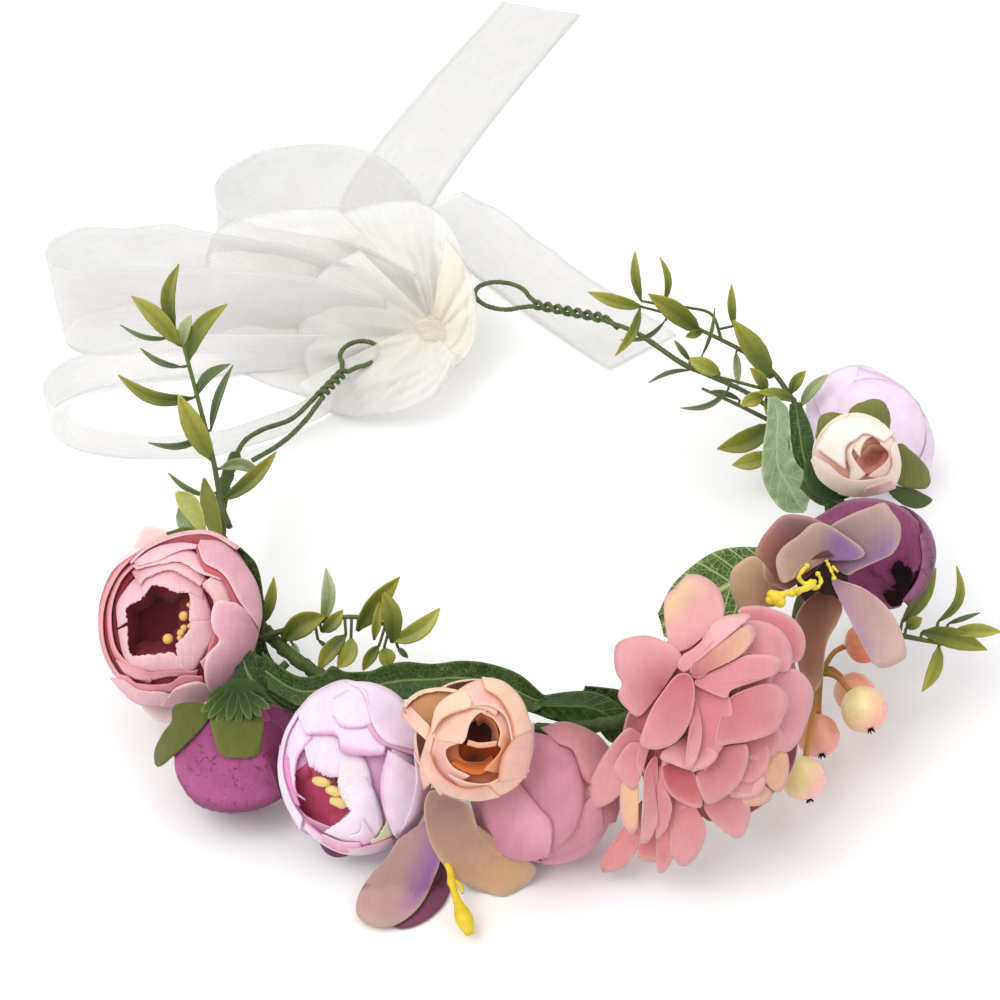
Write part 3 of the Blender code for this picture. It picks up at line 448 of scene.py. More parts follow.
# ------------------------------------------------------------ petal builders
OUTLINES = {
    "round": ([0, .12, .3, .5, .68, .82, .93, 1], [.25, .48, .78, .95, 1, .92, .68, .30]),
    "wide":  ([0, .10, .25, .45, .65, .82, .93, 1], [.34, .62, .86, .98, 1, .94, .74, .36]),
    "lance": ([0, .15, .4, .6, .8, .92, 1], [.28, .55, .95, 1, .78, .42, .06]),
    "ovate": ([0, .12, .35, .55, .75, .9, 1], [.3, .72, 1, .96, .72, .38, .05]),
    "strap": ([0, .15, .4, .7, .88, 1], [.5, .75, .95, 1, .82, .35]),
}
def petal(acc, base, tip, width, normal, bend=0.0, cup=0.15, outline="round", col=None, seed=0,
          ruffle=0.0, twist=0.0, nu=13, nv=15, mid=None, drop=0.10, curl=0.0, ruf=3.0):
    """Free petal or leaf: base to tip, spread across; bend bows its spine towards the
    normal, cup lifts its sides, curl rolls its tip over."""
    base, tip = np.asarray(base, float), np.asarray(tip, float)
    L = np.linalg.norm(tip - base)
    nrm = unit(normal)
    tt = np.linspace(0, 1, nv)
    if mid is not None:
        sp = smooth_path([base] + [np.asarray(q, float) for q in mid] + [tip], nv)
    else:
        sp = np.array([base + (tip - base) * t + unit(nrm - unit(tip - base) * (nrm @ unit(tip - base))) * bend * L * math.sin(math.pi * t) for t in tt])
    T = np.gradient(sp, axis=0)
    T /= np.linalg.norm(T, axis=1)[:, None]
    w1, w2 = Waves(seed * 7 + 1), Waves(seed * 7 + 2)
    ox, oy = OUTLINES[outline]
    W = np.interp(tt, ox, oy) * width / 2
    arc = np.concatenate([[0], np.cumsum(np.linalg.norm(np.diff(sp, axis=0), axis=1))])
    ss = np.linspace(-1, 1, nu)
    P = np.zeros((nu, nv, 3)); UVm = np.zeros((nu, nv, 2)); C = np.zeros((nu, nv, 3)); ST = np.zeros((nu, nv, 2))
    for j, t in enumerate(tt):
        a = twist * t
        n0 = unit(nrm - T[j] * (nrm @ T[j]))
        sd0 = np.cross(T[j], n0)
        sd = math.cos(a) * sd0 + math.sin(a) * n0
        nn = np.cross(sd, T[j])
        for i, s in enumerate(ss):
            back = -T[j] * drop * L * (s * s) * t ** 4
            lift = cup * width * 0.5 * s * s * (0.4 + 0.6 * t)
            rf = ruffle * width * (abs(s) ** 2.2 * w1(t * 5 * ruf / 3 + (3 if s > 0 else 0)) * t + 0.55 * t ** 5 * w2(s * ruf))
            rl = -curl * L * max(0, t - 0.7) ** 2 * 4
            P[i, j] = sp[j] + sd * s * W[j] + back + nn * (lift + rf + rl)
            UVm[i, j] = (s * W[j], arc[j])
            ST[i, j] = (s * 0.5 + 0.5, t)
            C[i, j] = col(s, t) if callable(col) else col
    acc.grid(P, UVm, C, ST, flip=True)

def wrap_petal(acc, C, n, a, bf, bb, phi, dphi, th0, th1, r=1.0, flare=0.0, drop=22.0, jag=0.0, col=None,
               seed=0, nu=17, nv=12, open_tip=0.0, point=0.0, skew=0.0, pinch=0.0):
    """Petal that hugs an oval body about n.  Angles in degrees: th0 at its root, th1 at its
    free edge; drop rounds the free edge's corners, jag tears it, flare lifts it."""
    u, w, n = axes_of(n)
    wv = Waves(seed * 13 + 5, 6, 2.2)
    rj = np.random.RandomState(seed * 3 + 11)
    teeth = rj.rand(nu) * jag
    tt = np.linspace(0, 1, nv)
    ss = np.linspace(-1, 1, nu)
    P = np.zeros((nu, nv, 3)); UVm = np.zeros((nu, nv, 2)); CC = np.zeros((nu, nv, 3)); ST = np.zeros((nu, nv, 2))
    wf = Waves(seed * 13 + 9, 3, 1.2)
    for i, s in enumerate(ss):
        edge = th1 + drop * (abs(s) ** 2.4) + teeth[i] + point * abs(s) + 1.8 * wv(s * 2.0)
        for j, t in enumerate(tt):
            th = math.radians(th0 + (edge - th0) * t)
            ww = 0.45 + 0.55 * math.sin(math.pi * min(1, 0.12 + 0.62 * t))
            ph = math.radians(phi + skew * t + s * dphi * ww)
            rr = r + flare * t ** 3 + open_tip * max(0, t - 0.6) * 2.5 + 0.010 * wf(s * 2 + t * 3) * t
            rr -= pinch * (abs(s) ** 3) * t
            b = bf if math.cos(th) > 0 else bb
            P[i, j] = C + rr * (a * math.sin(th) * (math.cos(ph) * u + math.sin(ph) * w) + b * math.cos(th) * n)
            UVm[i, j] = (s * a * math.radians(dphi), t * a * math.radians(abs(th0 - th1)))
            ST[i, j] = (s * 0.5 + 0.5, t)
            CC[i, j] = col(s, t) if callable(col) else col
    acc.grid(P, UVm, CC, ST)

def tube_into(acc, P, r, sides=10, col=None, ridge=None, caps=True):
    P = np.asarray(P, float)
    T, N, B = frames(P)
    k = len(P)
    arc = np.concatenate([[0], np.cumsum(np.linalg.norm(np.diff(P, axis=0), axis=1))])
    G = np.zeros((sides, k, 3)); UVm = np.zeros((sides, k, 2)); CC = np.zeros((sides, k, 3))
    for j in range(sides):
        a = 2 * math.pi * j / sides
        for i in range(k):
            rr = r(i / (k - 1)) if callable(r) else r
            if ridge:
                rr += ridge(arc[i], a)
            G[j, i] = P[i] + rr * (math.cos(a) * N[i] + math.sin(a) * B[i])
            UVm[j, i] = (a * 2.0, arc[i])
            CC[j, i] = col(i / (k - 1)) if callable(col) else col
    b = acc.grid(G, UVm, CC, None, close_u=True, flip=True)
    if caps:
        acc.cap([b + j * k for j in range(sides)])
        acc.cap([b + j * k + k - 1 for j in range(sides)][::-1])

def ball_into(acc, C, ax, prof, seg=24, col=None, wave=None):
    """Turned body about ax from (r, h) pairs."""
    u, w, n = axes_of(ax)
    k = len(prof)
    G = np.zeros((seg, k, 3)); UVm = np.zeros((seg, k, 2)); CC = np.zeros((seg, k, 3))
    for j in range(seg):
        a = 2 * math.pi * j / seg
        for i, (r, h) in enumerate(prof):
            rr = max(r, 0.02) * (wave(a, i / (k - 1)) if wave else 1)
            G[j, i] = C + rr * (math.cos(a) * u + math.sin(a) * w) + h * n
            UVm[j, i] = (a * 4, h)
            CC[j, i] = col(a, i / (k - 1)) if callable(col) else col
    b = acc.grid(G, UVm, CC, None, close_u=True)
    acc.cap([b + j * k for j in range(seg)][::-1])
    acc.cap([b + j * k + k - 1 for j in range(seg)])

def lerp(a, b, t):
    t = min(max(t, 0), 1)
    return np.asarray(a) * (1 - t) + np.asarray(b) * t

def shade(base, tipc, edge=None, seed=0, root=None):
    """Colour along a petal: root to tip, with a little from petal to petal."""
    r = np.random.RandomState(seed + 77)
    k = 1 + (r.rand() - 0.5) * 0.10
    hue = 1 + (r.rand(3) - 0.5) * 0.04
    def f(s, t):
        c = lerp(base, tipc, t ** 1.3)
        if root is not None:
            c = lerp(root, c, min(1, t * 2.2))
        if edge is not None:
            q = max(abs(s) ** 8, t ** 14)
            c = lerp(c, edge, 0.75 * q)
        return c * k * hue
    return f

# centre, facing, half width, front depth, back depth: as in the CAD
FL = {
    "peony_rose":    (V(-100.3, -59.4, 36.0), V(-0.12, -0.70, 0.71), 22.9, 19.5, 16.5),
    "bud_magenta":   (V(-84.0, -93.9, 14.0), V(-0.01, -0.84, -0.54), 15.2, 13.6, 13.0),
    "peony_lilac":   (V(-47.6, -105.1, 24.0), V(-0.43, -0.83, 0.34), 20.2, 18.2, 14.5),
    "rose_peach":    (V(-15.4, -113.4, 46.0), V(0.05, -0.62, 0.79), 17.3, 10.4, 12.0),
    "bud_mauve":     (V(5.7, -111.5, 16.4), V(-0.29, -0.94, -0.17), 17.0, 16.1, 13.0),
    "hydrangea":     (V(47.0, -109.5, 43.5), V(-0.33, -0.65, 0.69), 29.8, 16.4, 13.5),
    "bud_plum":      (V(103.9, -38.0, 40.5), V(0.39, -0.91, 0.12), 16.0, 15.2, 13.5),
    "rosebud_cream": (V(97.5, -11.9, 57.0), V(0.22, -0.79, 0.57), 12.8, 10.9, 11.0),
    "peony_pale":    (V(116.3, 45.0, 19.2), V(0.85, 0.15, 0.50), 20.4, 16.5, 16.5),
}
def dims(k):
    C, n, a, bf, bb = FL[k]
    return C, unit(n), a, bf, bb
def loc(C, x, y, h=0.0):
    """Point in the plane that faces the viewer through C: x right, y up, h towards the viewer."""
    return C + x * RV + y * UV_ + h * BV
def ball_prof(a, bf, bb, q0=180, q1=0, m=14):
    out = []
    for i in range(m):
        q = math.radians(q0 + (q1 - q0) * i / (m - 1))
        out.append((a * math.sin(q), (bf if math.cos(q) > 0 else bb) * math.cos(q)))
    return out

# -------------------------------------------------------- camera, floor, light
CAM = V(-8.0, -451.1, 434.2)
TGT = V(-8.0, 0.0, 28.0)
LENS = 70.0
cam = bpy.data.objects.new("Camera", bpy.data.cameras.new("Camera"))
cam.data.lens = LENS
cam.data.sensor_width = 36.0
cam.data.clip_start = 0.01
cam.location = (CAM + BENCH) * MM
cam.rotation_euler = Vector((TGT - CAM)).to_track_quat("-Z", "Y").to_euler()
bpy.context.scene.collection.objects.link(cam)
bpy.context.scene.camera = cam

m, nt, b = new_mat("m_floor")
tc = nt.nodes.new("ShaderNodeTexCoord")
fl = ramp(nt, noise(nt, tc.outputs["Object"], 3.0, 2.0), [(0.3, (0.90, 0.90, 0.90)), (0.7, (0.93, 0.93, 0.93))])
nt.links.new(fl, b.inputs["Base Color"])
b.inputs["Roughness"].default_value = 0.9
b.inputs["Specular IOR Level"].default_value = 0.1
me = bpy.data.meshes.new("floor")
me.from_pydata([(-6, -6, -0.0004), (6, -6, -0.0004), (6, 9, -0.0004), (-6, 9, -0.0004)], [], [(0, 1, 2, 3)])
me.materials.append(MATS["m_floor"])
floor = bpy.data.objects.new("floor", me)
bpy.context.scene.collection.objects.link(floor)

def area(name, p, size, power, tgt=(0, 0, 0.03), col=(1, 1, 1)):
    l = bpy.data.lights.new(name, "AREA")
    l.shape = "RECTANGLE"
    l.size, l.size_y = size
    l.energy = power
    l.color = col
    o = bpy.data.objects.new(name, l)
    o.location = p
    o.rotation_euler = (Vector(tgt) - Vector(p)).to_track_quat("-Z", "Y").to_euler()
    bpy.context.scene.collection.objects.link(o)
area("key", (-0.9, -0.7, 1.6), (1.3, 1.3), 19, (0, -0.1, 0.0), (1.0, 0.985, 0.96))
area("fill", (1.3, -0.7, 1.2), (1.6, 1.6), 7, (0, -0.1, 0.0), (0.97, 0.98, 1.0))
area("top", (0.0, 0.5, 1.9), (2.2, 2.2), 14, (0, 0, 0))
w = bpy.data.worlds.new("World")
w.use_nodes = True
w.node_tree.nodes["Background"].inputs[0].default_value = (1, 1, 1, 1)
w.node_tree.nodes["Background"].inputs[1].default_value = 0.60
bpy.context.scene.world = w
try:
    bpy.context.scene.view_settings.view_transform = "Standard"
except Exception:
    pass

# -------------------------------------- petals drawn on the plane seen from the front
class Dome:
    """Sheet of air over a flower: view-plane position (0.3 mm grid of the 1000 x 1000
    frame) to a point on a dome of radius R and height B about C."""
    F = LENS / 36.0 * 1000.0
    def __init__(self, C, R, B, gx=0.0, gy=0.0, fall=1.3, h0=0.0, pw=0.5, zmin=0.3):
        self.zmin = zmin
        self.C, self.R, self.B, self.gx, self.gy, self.fall, self.h0, self.pw = np.asarray(C, float), R, B, gx, gy, fall, h0, pw
    def xy(self, p, h=0.0):
        d = -BV + (p[0] - 500.0) / self.F * RV - (p[1] - 500.0) / self.F * UV_
        O = self.C + h * BV
        t = ((O - CAM) @ BV) / (d @ BV)
        return CAM + d * t
    def H(self, p):
        q = self.xy(p) - self.C
        x, y = q @ RV, q @ UV_
        rho = math.hypot(x, y) / self.R
        return (self.h0 + self.B * (max(0.0, 1 - min(rho, .97) ** 2)) ** self.pw
                - self.fall * self.R * max(0.0, rho - .97) + self.gx * x + self.gy * y)
    def P(self, p, lift=0.0):
        q = self.xy(p, self.H(p) + lift)
        if q[2] < self.zmin:
            q = CAM + (q - CAM) * ((CAM[2] - self.zmin) / (CAM[2] - q[2]))
        return q

def resample(poly, n, closed=False, smooth=True):
    P = np.array([(*p, 0.0) for p in poly], float)
    if closed:
        P = np.vstack([P, P[:1]])
    if smooth and len(P) > 2:
        if closed:
            Q = np.vstack([P[-3], P[-2], P, P[1], P[2]])
            S = smooth_path(Q, 60 * len(Q))
            a = np.argmin(np.linalg.norm(S[: len(S) // 2] - P[0], axis=1))
            b2 = len(S) // 2 + np.argmin(np.linalg.norm(S[len(S) // 2:] - P[0], axis=1))
            S = S[a:b2 + 1]
        else:
            S = smooth_path(P, 60 * len(P))
    else:
        S = P
    s = np.concatenate([[0], np.cumsum(np.linalg.norm(np.diff(S, axis=0), axis=1))])
    u = np.linspace(0, s[-1], n + 1)[:-1] if closed else np.linspace(0, s[-1], n)
    return np.stack([np.interp(u, s, S[:, k]) for k in range(2)], 1)

def rgb(c):
    return lin(*c)

def band(acc, D, A, B, c0, c1, lift=0.0, rise=0.6, edge=None, jag=0.0, nv=8, tuck=0.8, seed=0, closed=False,
         smooth=True, roll=0.0, wav=0.0, step=2.6, bow=0.0, gam=0.8, pleat=None):
    """Petal between its root line A and its free rim B, both drawn in the view plane."""
    LB = np.sum(np.linalg.norm(np.diff(np.array(B, float), axis=0), axis=1))
    LA = np.sum(np.linalg.norm(np.diff(np.array(A, float), axis=0), axis=1))
    n = int(min(90, max(10, max(LA, LB) / step)))
    a, b_ = resample(A, n, closed, smooth), resample(B, n, closed, smooth)
    r = np.random.RandomState(seed + 5)
    if jag:
        tg = np.gradient(b_, axis=0)
        nr = np.stack([-tg[:, 1], tg[:, 0]], 1)
        nr /= np.maximum(np.linalg.norm(nr, axis=1), 1e-6)[:, None]
        b_ = b_ + nr * ((r.rand(n) - 0.5) * 2 * jag)[:, None]
    wv, wc = Waves(seed * 5 + 3, 5, 3.0), Waves(seed * 5 + 4, 4, 2.0)
    c0, c1 = rgb(c0), rgb(c1)
    ce = rgb(edge) if edge is not None else None
    P = np.zeros((n, nv, 3)); UVm = np.zeros((n, nv, 2)); C = np.zeros((n, nv, 3)); ST = np.zeros((n, nv, 2))
    for i in range(n):
        for j in range(nv):
            t = j / (nv - 1)
            p = a[i] + (b_[i] - a[i]) * t
            s = i / (n - 1)
            h = lift - tuck * (1 - t) ** 2 + rise * t ** 2 + wav * wv(s * 6) * t + bow * math.sin(math.pi * t)
            if pleat:
                h += pleat[1] * math.sin(2 * math.pi * pleat[0] * s + 1.3 * math.sin(7 * s)) * (0.25 + 0.75 * t)
            if roll and t > 0.8:
                h -= roll * ((t - 0.8) / 0.2) ** 2
            P[i, j] = D.P(p, h)
            UVm[i, j] = (p[0] * 0.3, p[1] * 0.3)
            ST[i, j] = (s, t)
            k = 1 + 0.05 * wc(s * 5 + t)
            c = lerp(c0, c1, t ** gam) * k
            if ce is not None:
                c = lerp(c, ce, max(0, (t - 0.86) / 0.14) ** 1.5)
            C[i, j] = c
    acc.grid(P, UVm, C, ST, close_u=closed)

def patch(acc, D, outline, base, c0, c1, lift=0.0, rise=0.8, edge=None, jag=0.0, nv=8, seed=0, smooth=True,
          wav=0.0, step=3.0, dome=0.0, tuck=0.6, sidec=None, gam=1.0, tilt=None):
    """Whole petal: closed outline in the view plane, with its root at base."""
    O = np.array(outline, float)
    per = np.sum(np.linalg.norm(np.diff(np.vstack([O, O[:1]]), axis=0), axis=1))
    n = int(min(80, max(14, per / step)))
    o = resample(outline, n, True, smooth)
    base = np.array(base, float)
    r = np.random.RandomState(seed + 15)
    if jag:
        d = o - base
        d /= np.maximum(np.linalg.norm(d, axis=1), 1e-6)[:, None]
        o = o + d * ((r.rand(n) - 0.5) * 2 * jag)[:, None]
    far = np.max(np.linalg.norm(o - base, axis=1))
    wv = Waves(seed * 5 + 3, 5, 1.0)
    cen = o.mean(0)
    c0, c1 = rgb(c0), rgb(c1)
    ce = rgb(edge) if edge is not None else None
    nv1 = nv
    P = np.zeros((n, nv1, 3)); UVm = np.zeros((n, nv1, 2)); C = np.zeros((n, nv1, 3)); ST = np.zeros((n, nv1, 2))
    for i in range(n):
        for j in range(nv1):
            t = (j + 0.25) / (nv1 - 1 + 0.25)
            p = base + (o[i] - base) * t
            dd = np.linalg.norm(p - base) / far
            q = np.linalg.norm(p - cen) / (far * 0.6)
            h = lift - tuck * (1 - dd) ** 2 + rise * dd ** 2 * 1.0 + wav * wv(i / n * 6.283) * t ** 2 + dome * (1 - min(1, q) ** 2)
            if tilt is not None:
                h += (p[0] - base[0]) * tilt[0] + (p[1] - base[1]) * tilt[1]
            P[i, j] = D.P(p, h)
            UVm[i, j] = (p[0] * 0.3, p[1] * 0.3)
            ST[i, j] = (0.5 + 0.5 * math.sin(i / n * 6.283), dd)
            c = lerp(c0, c1, dd ** gam)
            if sidec is not None:
                sc, ax = sidec
                w_ = min(1, max(0, ((p - cen) @ np.array(ax, float)) / (far * 0.38) * 0.85 + 0.10)) ** 1.3 * 0.9
                c = lerp(c, rgb(sc), w_)
            if ce is not None:
                c = lerp(c, ce, t ** 14)
            C[i, j] = c
    b0 = acc.grid(P, UVm, C, ST, close_u=True)
    acc.cap([b0 + i * nv1 for i in range(n)][::-1])

def dot(acc, D, p, r, col, lift=0.0, seg=12):
    c = D.P(p, lift)
    ball_into(acc, c, BV, ball_prof(r, r, r, m=8), seg, col=rgb(col))

# ---------------------------------------------------------------- wires, tape
RING_R, RING_Z = 95.0, 28.0
acc = Acc()
A = np.radians(np.linspace(168.0, 382.0, 220))
ring = np.stack([RING_R * np.cos(A), RING_R * np.sin(A), np.full_like(A, RING_Z)], 1)
tube_into(acc, ring, 1.0, 12, col=lin(150, 152, 148))
m, nt, b = new_mat("m_steel")
b.inputs["Metallic"].default_value = 1.0
nt.links.new(ramp(nt, noise(nt, scaled(nt, uv_coord(nt), (1, 0.3, 1)), 2.0, 3.0), [(0.3, (0.45, 0.46, 0.45)), (0.7, (0.62, 0.62, 0.6))]), b.inputs["Base Color"])
b.inputs["Roughness"].default_value = 0.35
make("front_wire", acc, "m_steel", "frame", ["wire_front"])

def tape_ridge(pitch, amp, seed=1):
    wv = Waves(seed, 5, 0.5)
    def f(s, a):
        ph = (s / pitch - a / (2 * math.pi)) % 1.0
        return amp * (1 - ph) + amp * 0.5 * wv(s + 2 * a)
    return f
acc = Acc()
A = np.radians(np.linspace(167.3, 382.7, 660))
ring = np.stack([RING_R * np.cos(A), RING_R * np.sin(A), np.full_like(A, RING_Z)], 1)
tube_into(acc, ring, 1.75, 14, col=lambda t: lin(70, 86, 42) * (1 + 0.12 * math.sin(t * 190)), ridge=tape_ridge(6.0, 0.42))
make("tape_spiral", acc, "m_tape", "frame", ["tape_wrap"])

THIN_R = 0.75
def eye_points(B, T, r, squash, n):
    T = unit(V(T[0], T[1], 0))
    e1 = unit(np.cross(T, V(0, 0, 1)))
    c = B + T * (r + 3.0)
    return np.array([c + T * r * math.cos(a) - e1 * r * squash * math.sin(a)
                     for a in np.radians(np.linspace(-150, 150, n))])
def twist(A, B, turns, r, n):
    T = unit(B - A)
    e1 = unit(np.cross(T, V(0, 0, 1)))
    e2 = np.cross(T, e1)
    out = []
    for ph in (0, math.pi):
        out.append(np.array([A + (B - A) * s + r * (math.cos(ph + 2 * math.pi * turns * (s - 1)) * e1 + math.sin(ph + 2 * math.pi * turns * (s - 1)) * e2)
                             for s in np.linspace(0, 1, n)]))
    return out
def wire_piece(name, pts, r, body, reps, n=700):
    acc = Acc()
    tube_into(acc, smooth_path(pts, n), r, 10, col=lambda t: lin(92, 106, 68) * (1 + 0.1 * math.sin(t * 260)), ridge=tape_ridge(1.9, 0.16, 3))
    return make(name, acc, "m_paper", body, reps)
LA, LB = V(-69.0, 60.5, 20.5), V(-61.5, 76.5, 19.0)
s1, s2 = twist(LA, LB, 2.5, 1.15, 40)
wire_piece("left_end_wire", np.vstack([smooth_path([(-92.6, 21.2, 28), (-90.5, 30, 27), (-85.5, 38.0, 25.0), (-77.0, 46.5, 22.5), s1[0]], 20)[:-1],
           s1, eye_points(LB, LB - LA, 7.5, 0.85, 22), s2[::-1], smooth_path([s2[0], (-73.5, 48.5, 19.2), (-80.0, 34.0, 22.0), (-87.5, 22.5, 25.0)], 14)[1:]]),
           THIN_R, "left_arm", ["wire_left"])
RA, RB = V(29.0, 102.6, 22.0), V(4.5, 113.6, 20.0)
s1, s2 = twist(RA, RB, 3.5, 1.15, 56)
wire_piece("right_end_wire", np.vstack([smooth_path([(87.5, 37.0, 28), (80.5, 46.5, 27.6), (72.2, 56.5, 27), (54.5, 71.5, 26), (40.5, 91, 23.8), s1[0]], 22)[:-1],
           s1, eye_points(RB, RB - RA, 10.0, 0.8, 26), s2[::-1], smooth_path([s2[0], (33.5, 98.5, 20.6)], 5)[1:]]),
           THIN_R, "right_arm", ["wire_right"])

# --------------------------------------------------------------------- sprigs
S_DARK, S_MID, S_TIP = lin(58, 84, 22), lin(104, 124, 34), lin(166, 172, 62)
def project(p):
    q = np.asarray(p, float) - CAM
    d = q @ (-BV)
    return np.array([500 + Dome.F * (q @ RV) / d, 500 - Dome.F * (q @ UV_) / d])

TONES = {"g": (lin(50, 72, 18), lin(94, 106, 26), lin(152, 146, 42)),       # olive to yellow green
         "y": (lin(94, 110, 28), lin(136, 140, 44), lin(172, 168, 74)),    # young leaf
         "d": (lin(46, 62, 30), lin(74, 92, 48), lin(104, 118, 70)),        # dark, thin, turned away
         "p": (lin(96, 112, 66), lin(134, 148, 98), lin(166, 174, 128))}    # greyish
def lance_into(acc, D, b_, t_, w, bend=0.0, tone="g", dh=0.0, h0=0.0, seed=0, roll=None):
    """Lance leaf between two view-plane points, on the plane of D; dh tips it to or from the viewer."""
    r = np.random.RandomState(seed + 900)
    b_, t_ = np.array(b_, float), np.array(t_, float)
    dv = t_ - b_
    L = np.linalg.norm(dv)
    pr = np.array([-dv[1], dv[0]]) / L
    nu, nv = 11, 18
    roll = (r.rand() - 0.5) * 0.8 if roll is None else roll
    tt = np.linspace(0, 1, nv)
    sp = []
    for t in tt:
        p = b_ + dv * t + pr * bend * math.sin(math.pi * t) * (1 - 0.15 * t)
        sp.append(D.P(p, h0 + dh * t + 1.0 * math.sin(math.pi * t)))
    sp = np.array(sp)
    Tn = np.gradient(sp, axis=0)
    Tn /= np.linalg.norm(Tn, axis=1)[:, None]
    mm = 0.31
    P = np.zeros((nu, nv, 3)); UVm = np.zeros((nu, nv, 2)); C = np.zeros((nu, nv, 3)); ST = np.zeros((nu, nv, 2))
    ws = np.interp(tt, [0, .05, .18, .40, .60, .80, .93, 1], [.16, .28, .74, 1, .96, .60, .24, .03])
    c0, c1, c2 = TONES[tone]
    k0 = 0.9 + 0.2 * r.rand()
    asym = (r.rand() - 0.5) * 0.3
    for j, t in enumerate(tt):
        sd = unit(np.cross(Tn[j], BV))
        nn = unit(np.cross(sd, Tn[j]))
        sdr = math.cos(roll) * sd + math.sin(roll) * nn
        nr = np.cross(sdr, Tn[j])
        for i in range(nu):
            q = -1 + 2 * i / (nu - 1)
            x = q * ws[j] * w * mm / 2 * (1 + asym * q)
            P[i, j] = sp[j] + sdr * x + nr * (abs(q) ** 1.4 * w * mm * 0.15 * ws[j])
            P[i, j][2] = max(P[i, j][2], 0.5)
            UVm[i, j] = (x, L * mm * t)
            ST[i, j] = (q * .5 + .5, t)
            lit = 0.80 + 0.20 * min(1, abs(q) * 2.5) + 0.10 * (q > 0)
            cc = lerp(lerp(c0, c1, t * 1.8 + 0.15), c2, max(0, t - 0.35) * 1.25 + 0.25 * abs(q) ** 3)
            C[i, j] = cc * k0 * lit
    acc.grid(P, UVm, C, ST)

def sprig_piece(name, stem, leaves, body, rep, r=0.9, seed=0, thick=0.55, more=()):
    """Plastic sprig: the stem is the CAD one, each leaf is (root, tip, width, bow, tone, dh)."""
    n = 60
    Q = smooth_path(stem, n)
    QP = np.array([project(q) for q in Q])
    st = Acc()
    tube_into(st, Q, lambda s: r * (1 - 0.35 * s), 10, col=lambda t: lerp(lin(60, 72, 30), lin(96, 112, 40), t))
    twig = Acc()
    ac = Acc()
    AQ, AP = list(Q), list(QP)
    for pts in more:
        i = int(np.argmin(np.linalg.norm(QP - np.array(pts[0], float), axis=1)))
        D_ = Dome(Q[i], 1e4, 0.0)
        side = smooth_path([Q[i]] + [D_.P(p, -1.0) for p in pts[1:]], 40)
        tube_into(st, side, lambda s: 0.6 * (1 - .3 * s), 8, col=lin(74, 92, 36))
        AQ += list(side[4:])
        AP += [project(q) for q in side[4:]]
    AP = np.array(AP)
    for k, lf in enumerate(leaves):
        b_, t_, w, bend = lf[:4]
        tone = lf[4] if len(lf) > 4 else "g"
        dh = lf[5] if len(lf) > 5 else 0.0
        i = int(np.argmin(np.linalg.norm(AP - np.array(b_, float), axis=1)))
        c = AQ[i]
        D_ = Dome(c, 1e4, 0.0)
        lance_into(ac, D_, b_, t_, w, bend, tone, dh, 0.0, seed * 40 + k)
        if np.linalg.norm(AP[i] - np.array(b_, float)) > 2.5:
            tube_into(st, smooth_path([c, (c + D_.P(b_)) / 2, D_.P(b_)], 6), 0.45, 6, col=lin(74, 92, 36))
    make(name + "_stem", st, "m_sprig", body, [rep])
    return make(name + "_leaves", ac, "m_sprig", body, [rep], thick=thick)
PL, PM_, PU, PF = (-90.0, -18.0, 33.0), (-77.5, -63.0, 31.5), (88.5, 40.0, 33.5), (104.0, -57.6, 28.0)
sprig_piece("sprig_l", [PL, (-93.2, -10, 36), (-96.0, 0, 46), (-100.5, 12, 59), (-105.5, 24, 74)], [
    ((175, 330), (179, 264), 14, -9), ((180, 346), (131, 296), 19, 3, "y"), ((183, 346), (191, 315), 13, -2, "p"),
    ((188, 361), (227, 304), 17, -9), ((170, 338), (120, 325), 5, -6, "d", -3), ((182, 367), (140, 348), 6, -5, "d", -3),
    ((193, 398), (118, 375), 14, -11), ((196, 396), (230, 364), 11, -6, "d", -4), ((211, 430), (233, 365), 8, -4, "d", -4),
    ((212, 460), (178, 394), 22, -1, "y", 3), ((208, 432), (148, 443), 7, -9, "d", -5), ((224, 500), (276, 452), 15, 5),
    ((220, 469), (262, 477), 12, -9, "p", -5), ((206, 496), (168, 473), 6, -4, "d", -4)],
    "sprig_left_stem", "sprig_left", seed=1)
sprig_piece("sprig_m", [PM_, (-62, -58.5, 33), (-50, -57.5, 34.5), (-39, -60, 33)], [
    ((284, 641), (326, 616), 22, -6), ((322, 632), (343, 610), 13, 1), ((323, 622), (326, 568), 13, 5, "p"),
    ((357, 631), (400, 577), 19, -3), ((374, 640), (381, 598), 9, 0, "y"), ((392, 643), (382, 590), 18, 5), ((393, 641), (440, 608), 17, 6, "y"),
    ((346, 635), (318, 671), 15, 2, "g", 2), ((351, 638), (337, 668), 17, -4, "y"), ((379, 646), (363, 671), 11, 2), ((384, 648), (388, 668), 16, 0, "y"),
    ((292, 643), (296, 662), 7, -3, "p", 3), ((398, 648), (408, 658), 6, 0, "d"), ((318, 640), (330, 650), 4, 0, "d")],
    "sprig_mid_stem", "sprig_mid", seed=2)
acc = Acc()
lance_into(acc, Dome(V(-76, -60, 32), 1e4, 0.0), (262, 625), (274, 577), 11, 3, "g", 0.0, 0.0, 77)
make("leaf_sprig_root", acc, "m_sprig", "frame", thick=0.5)
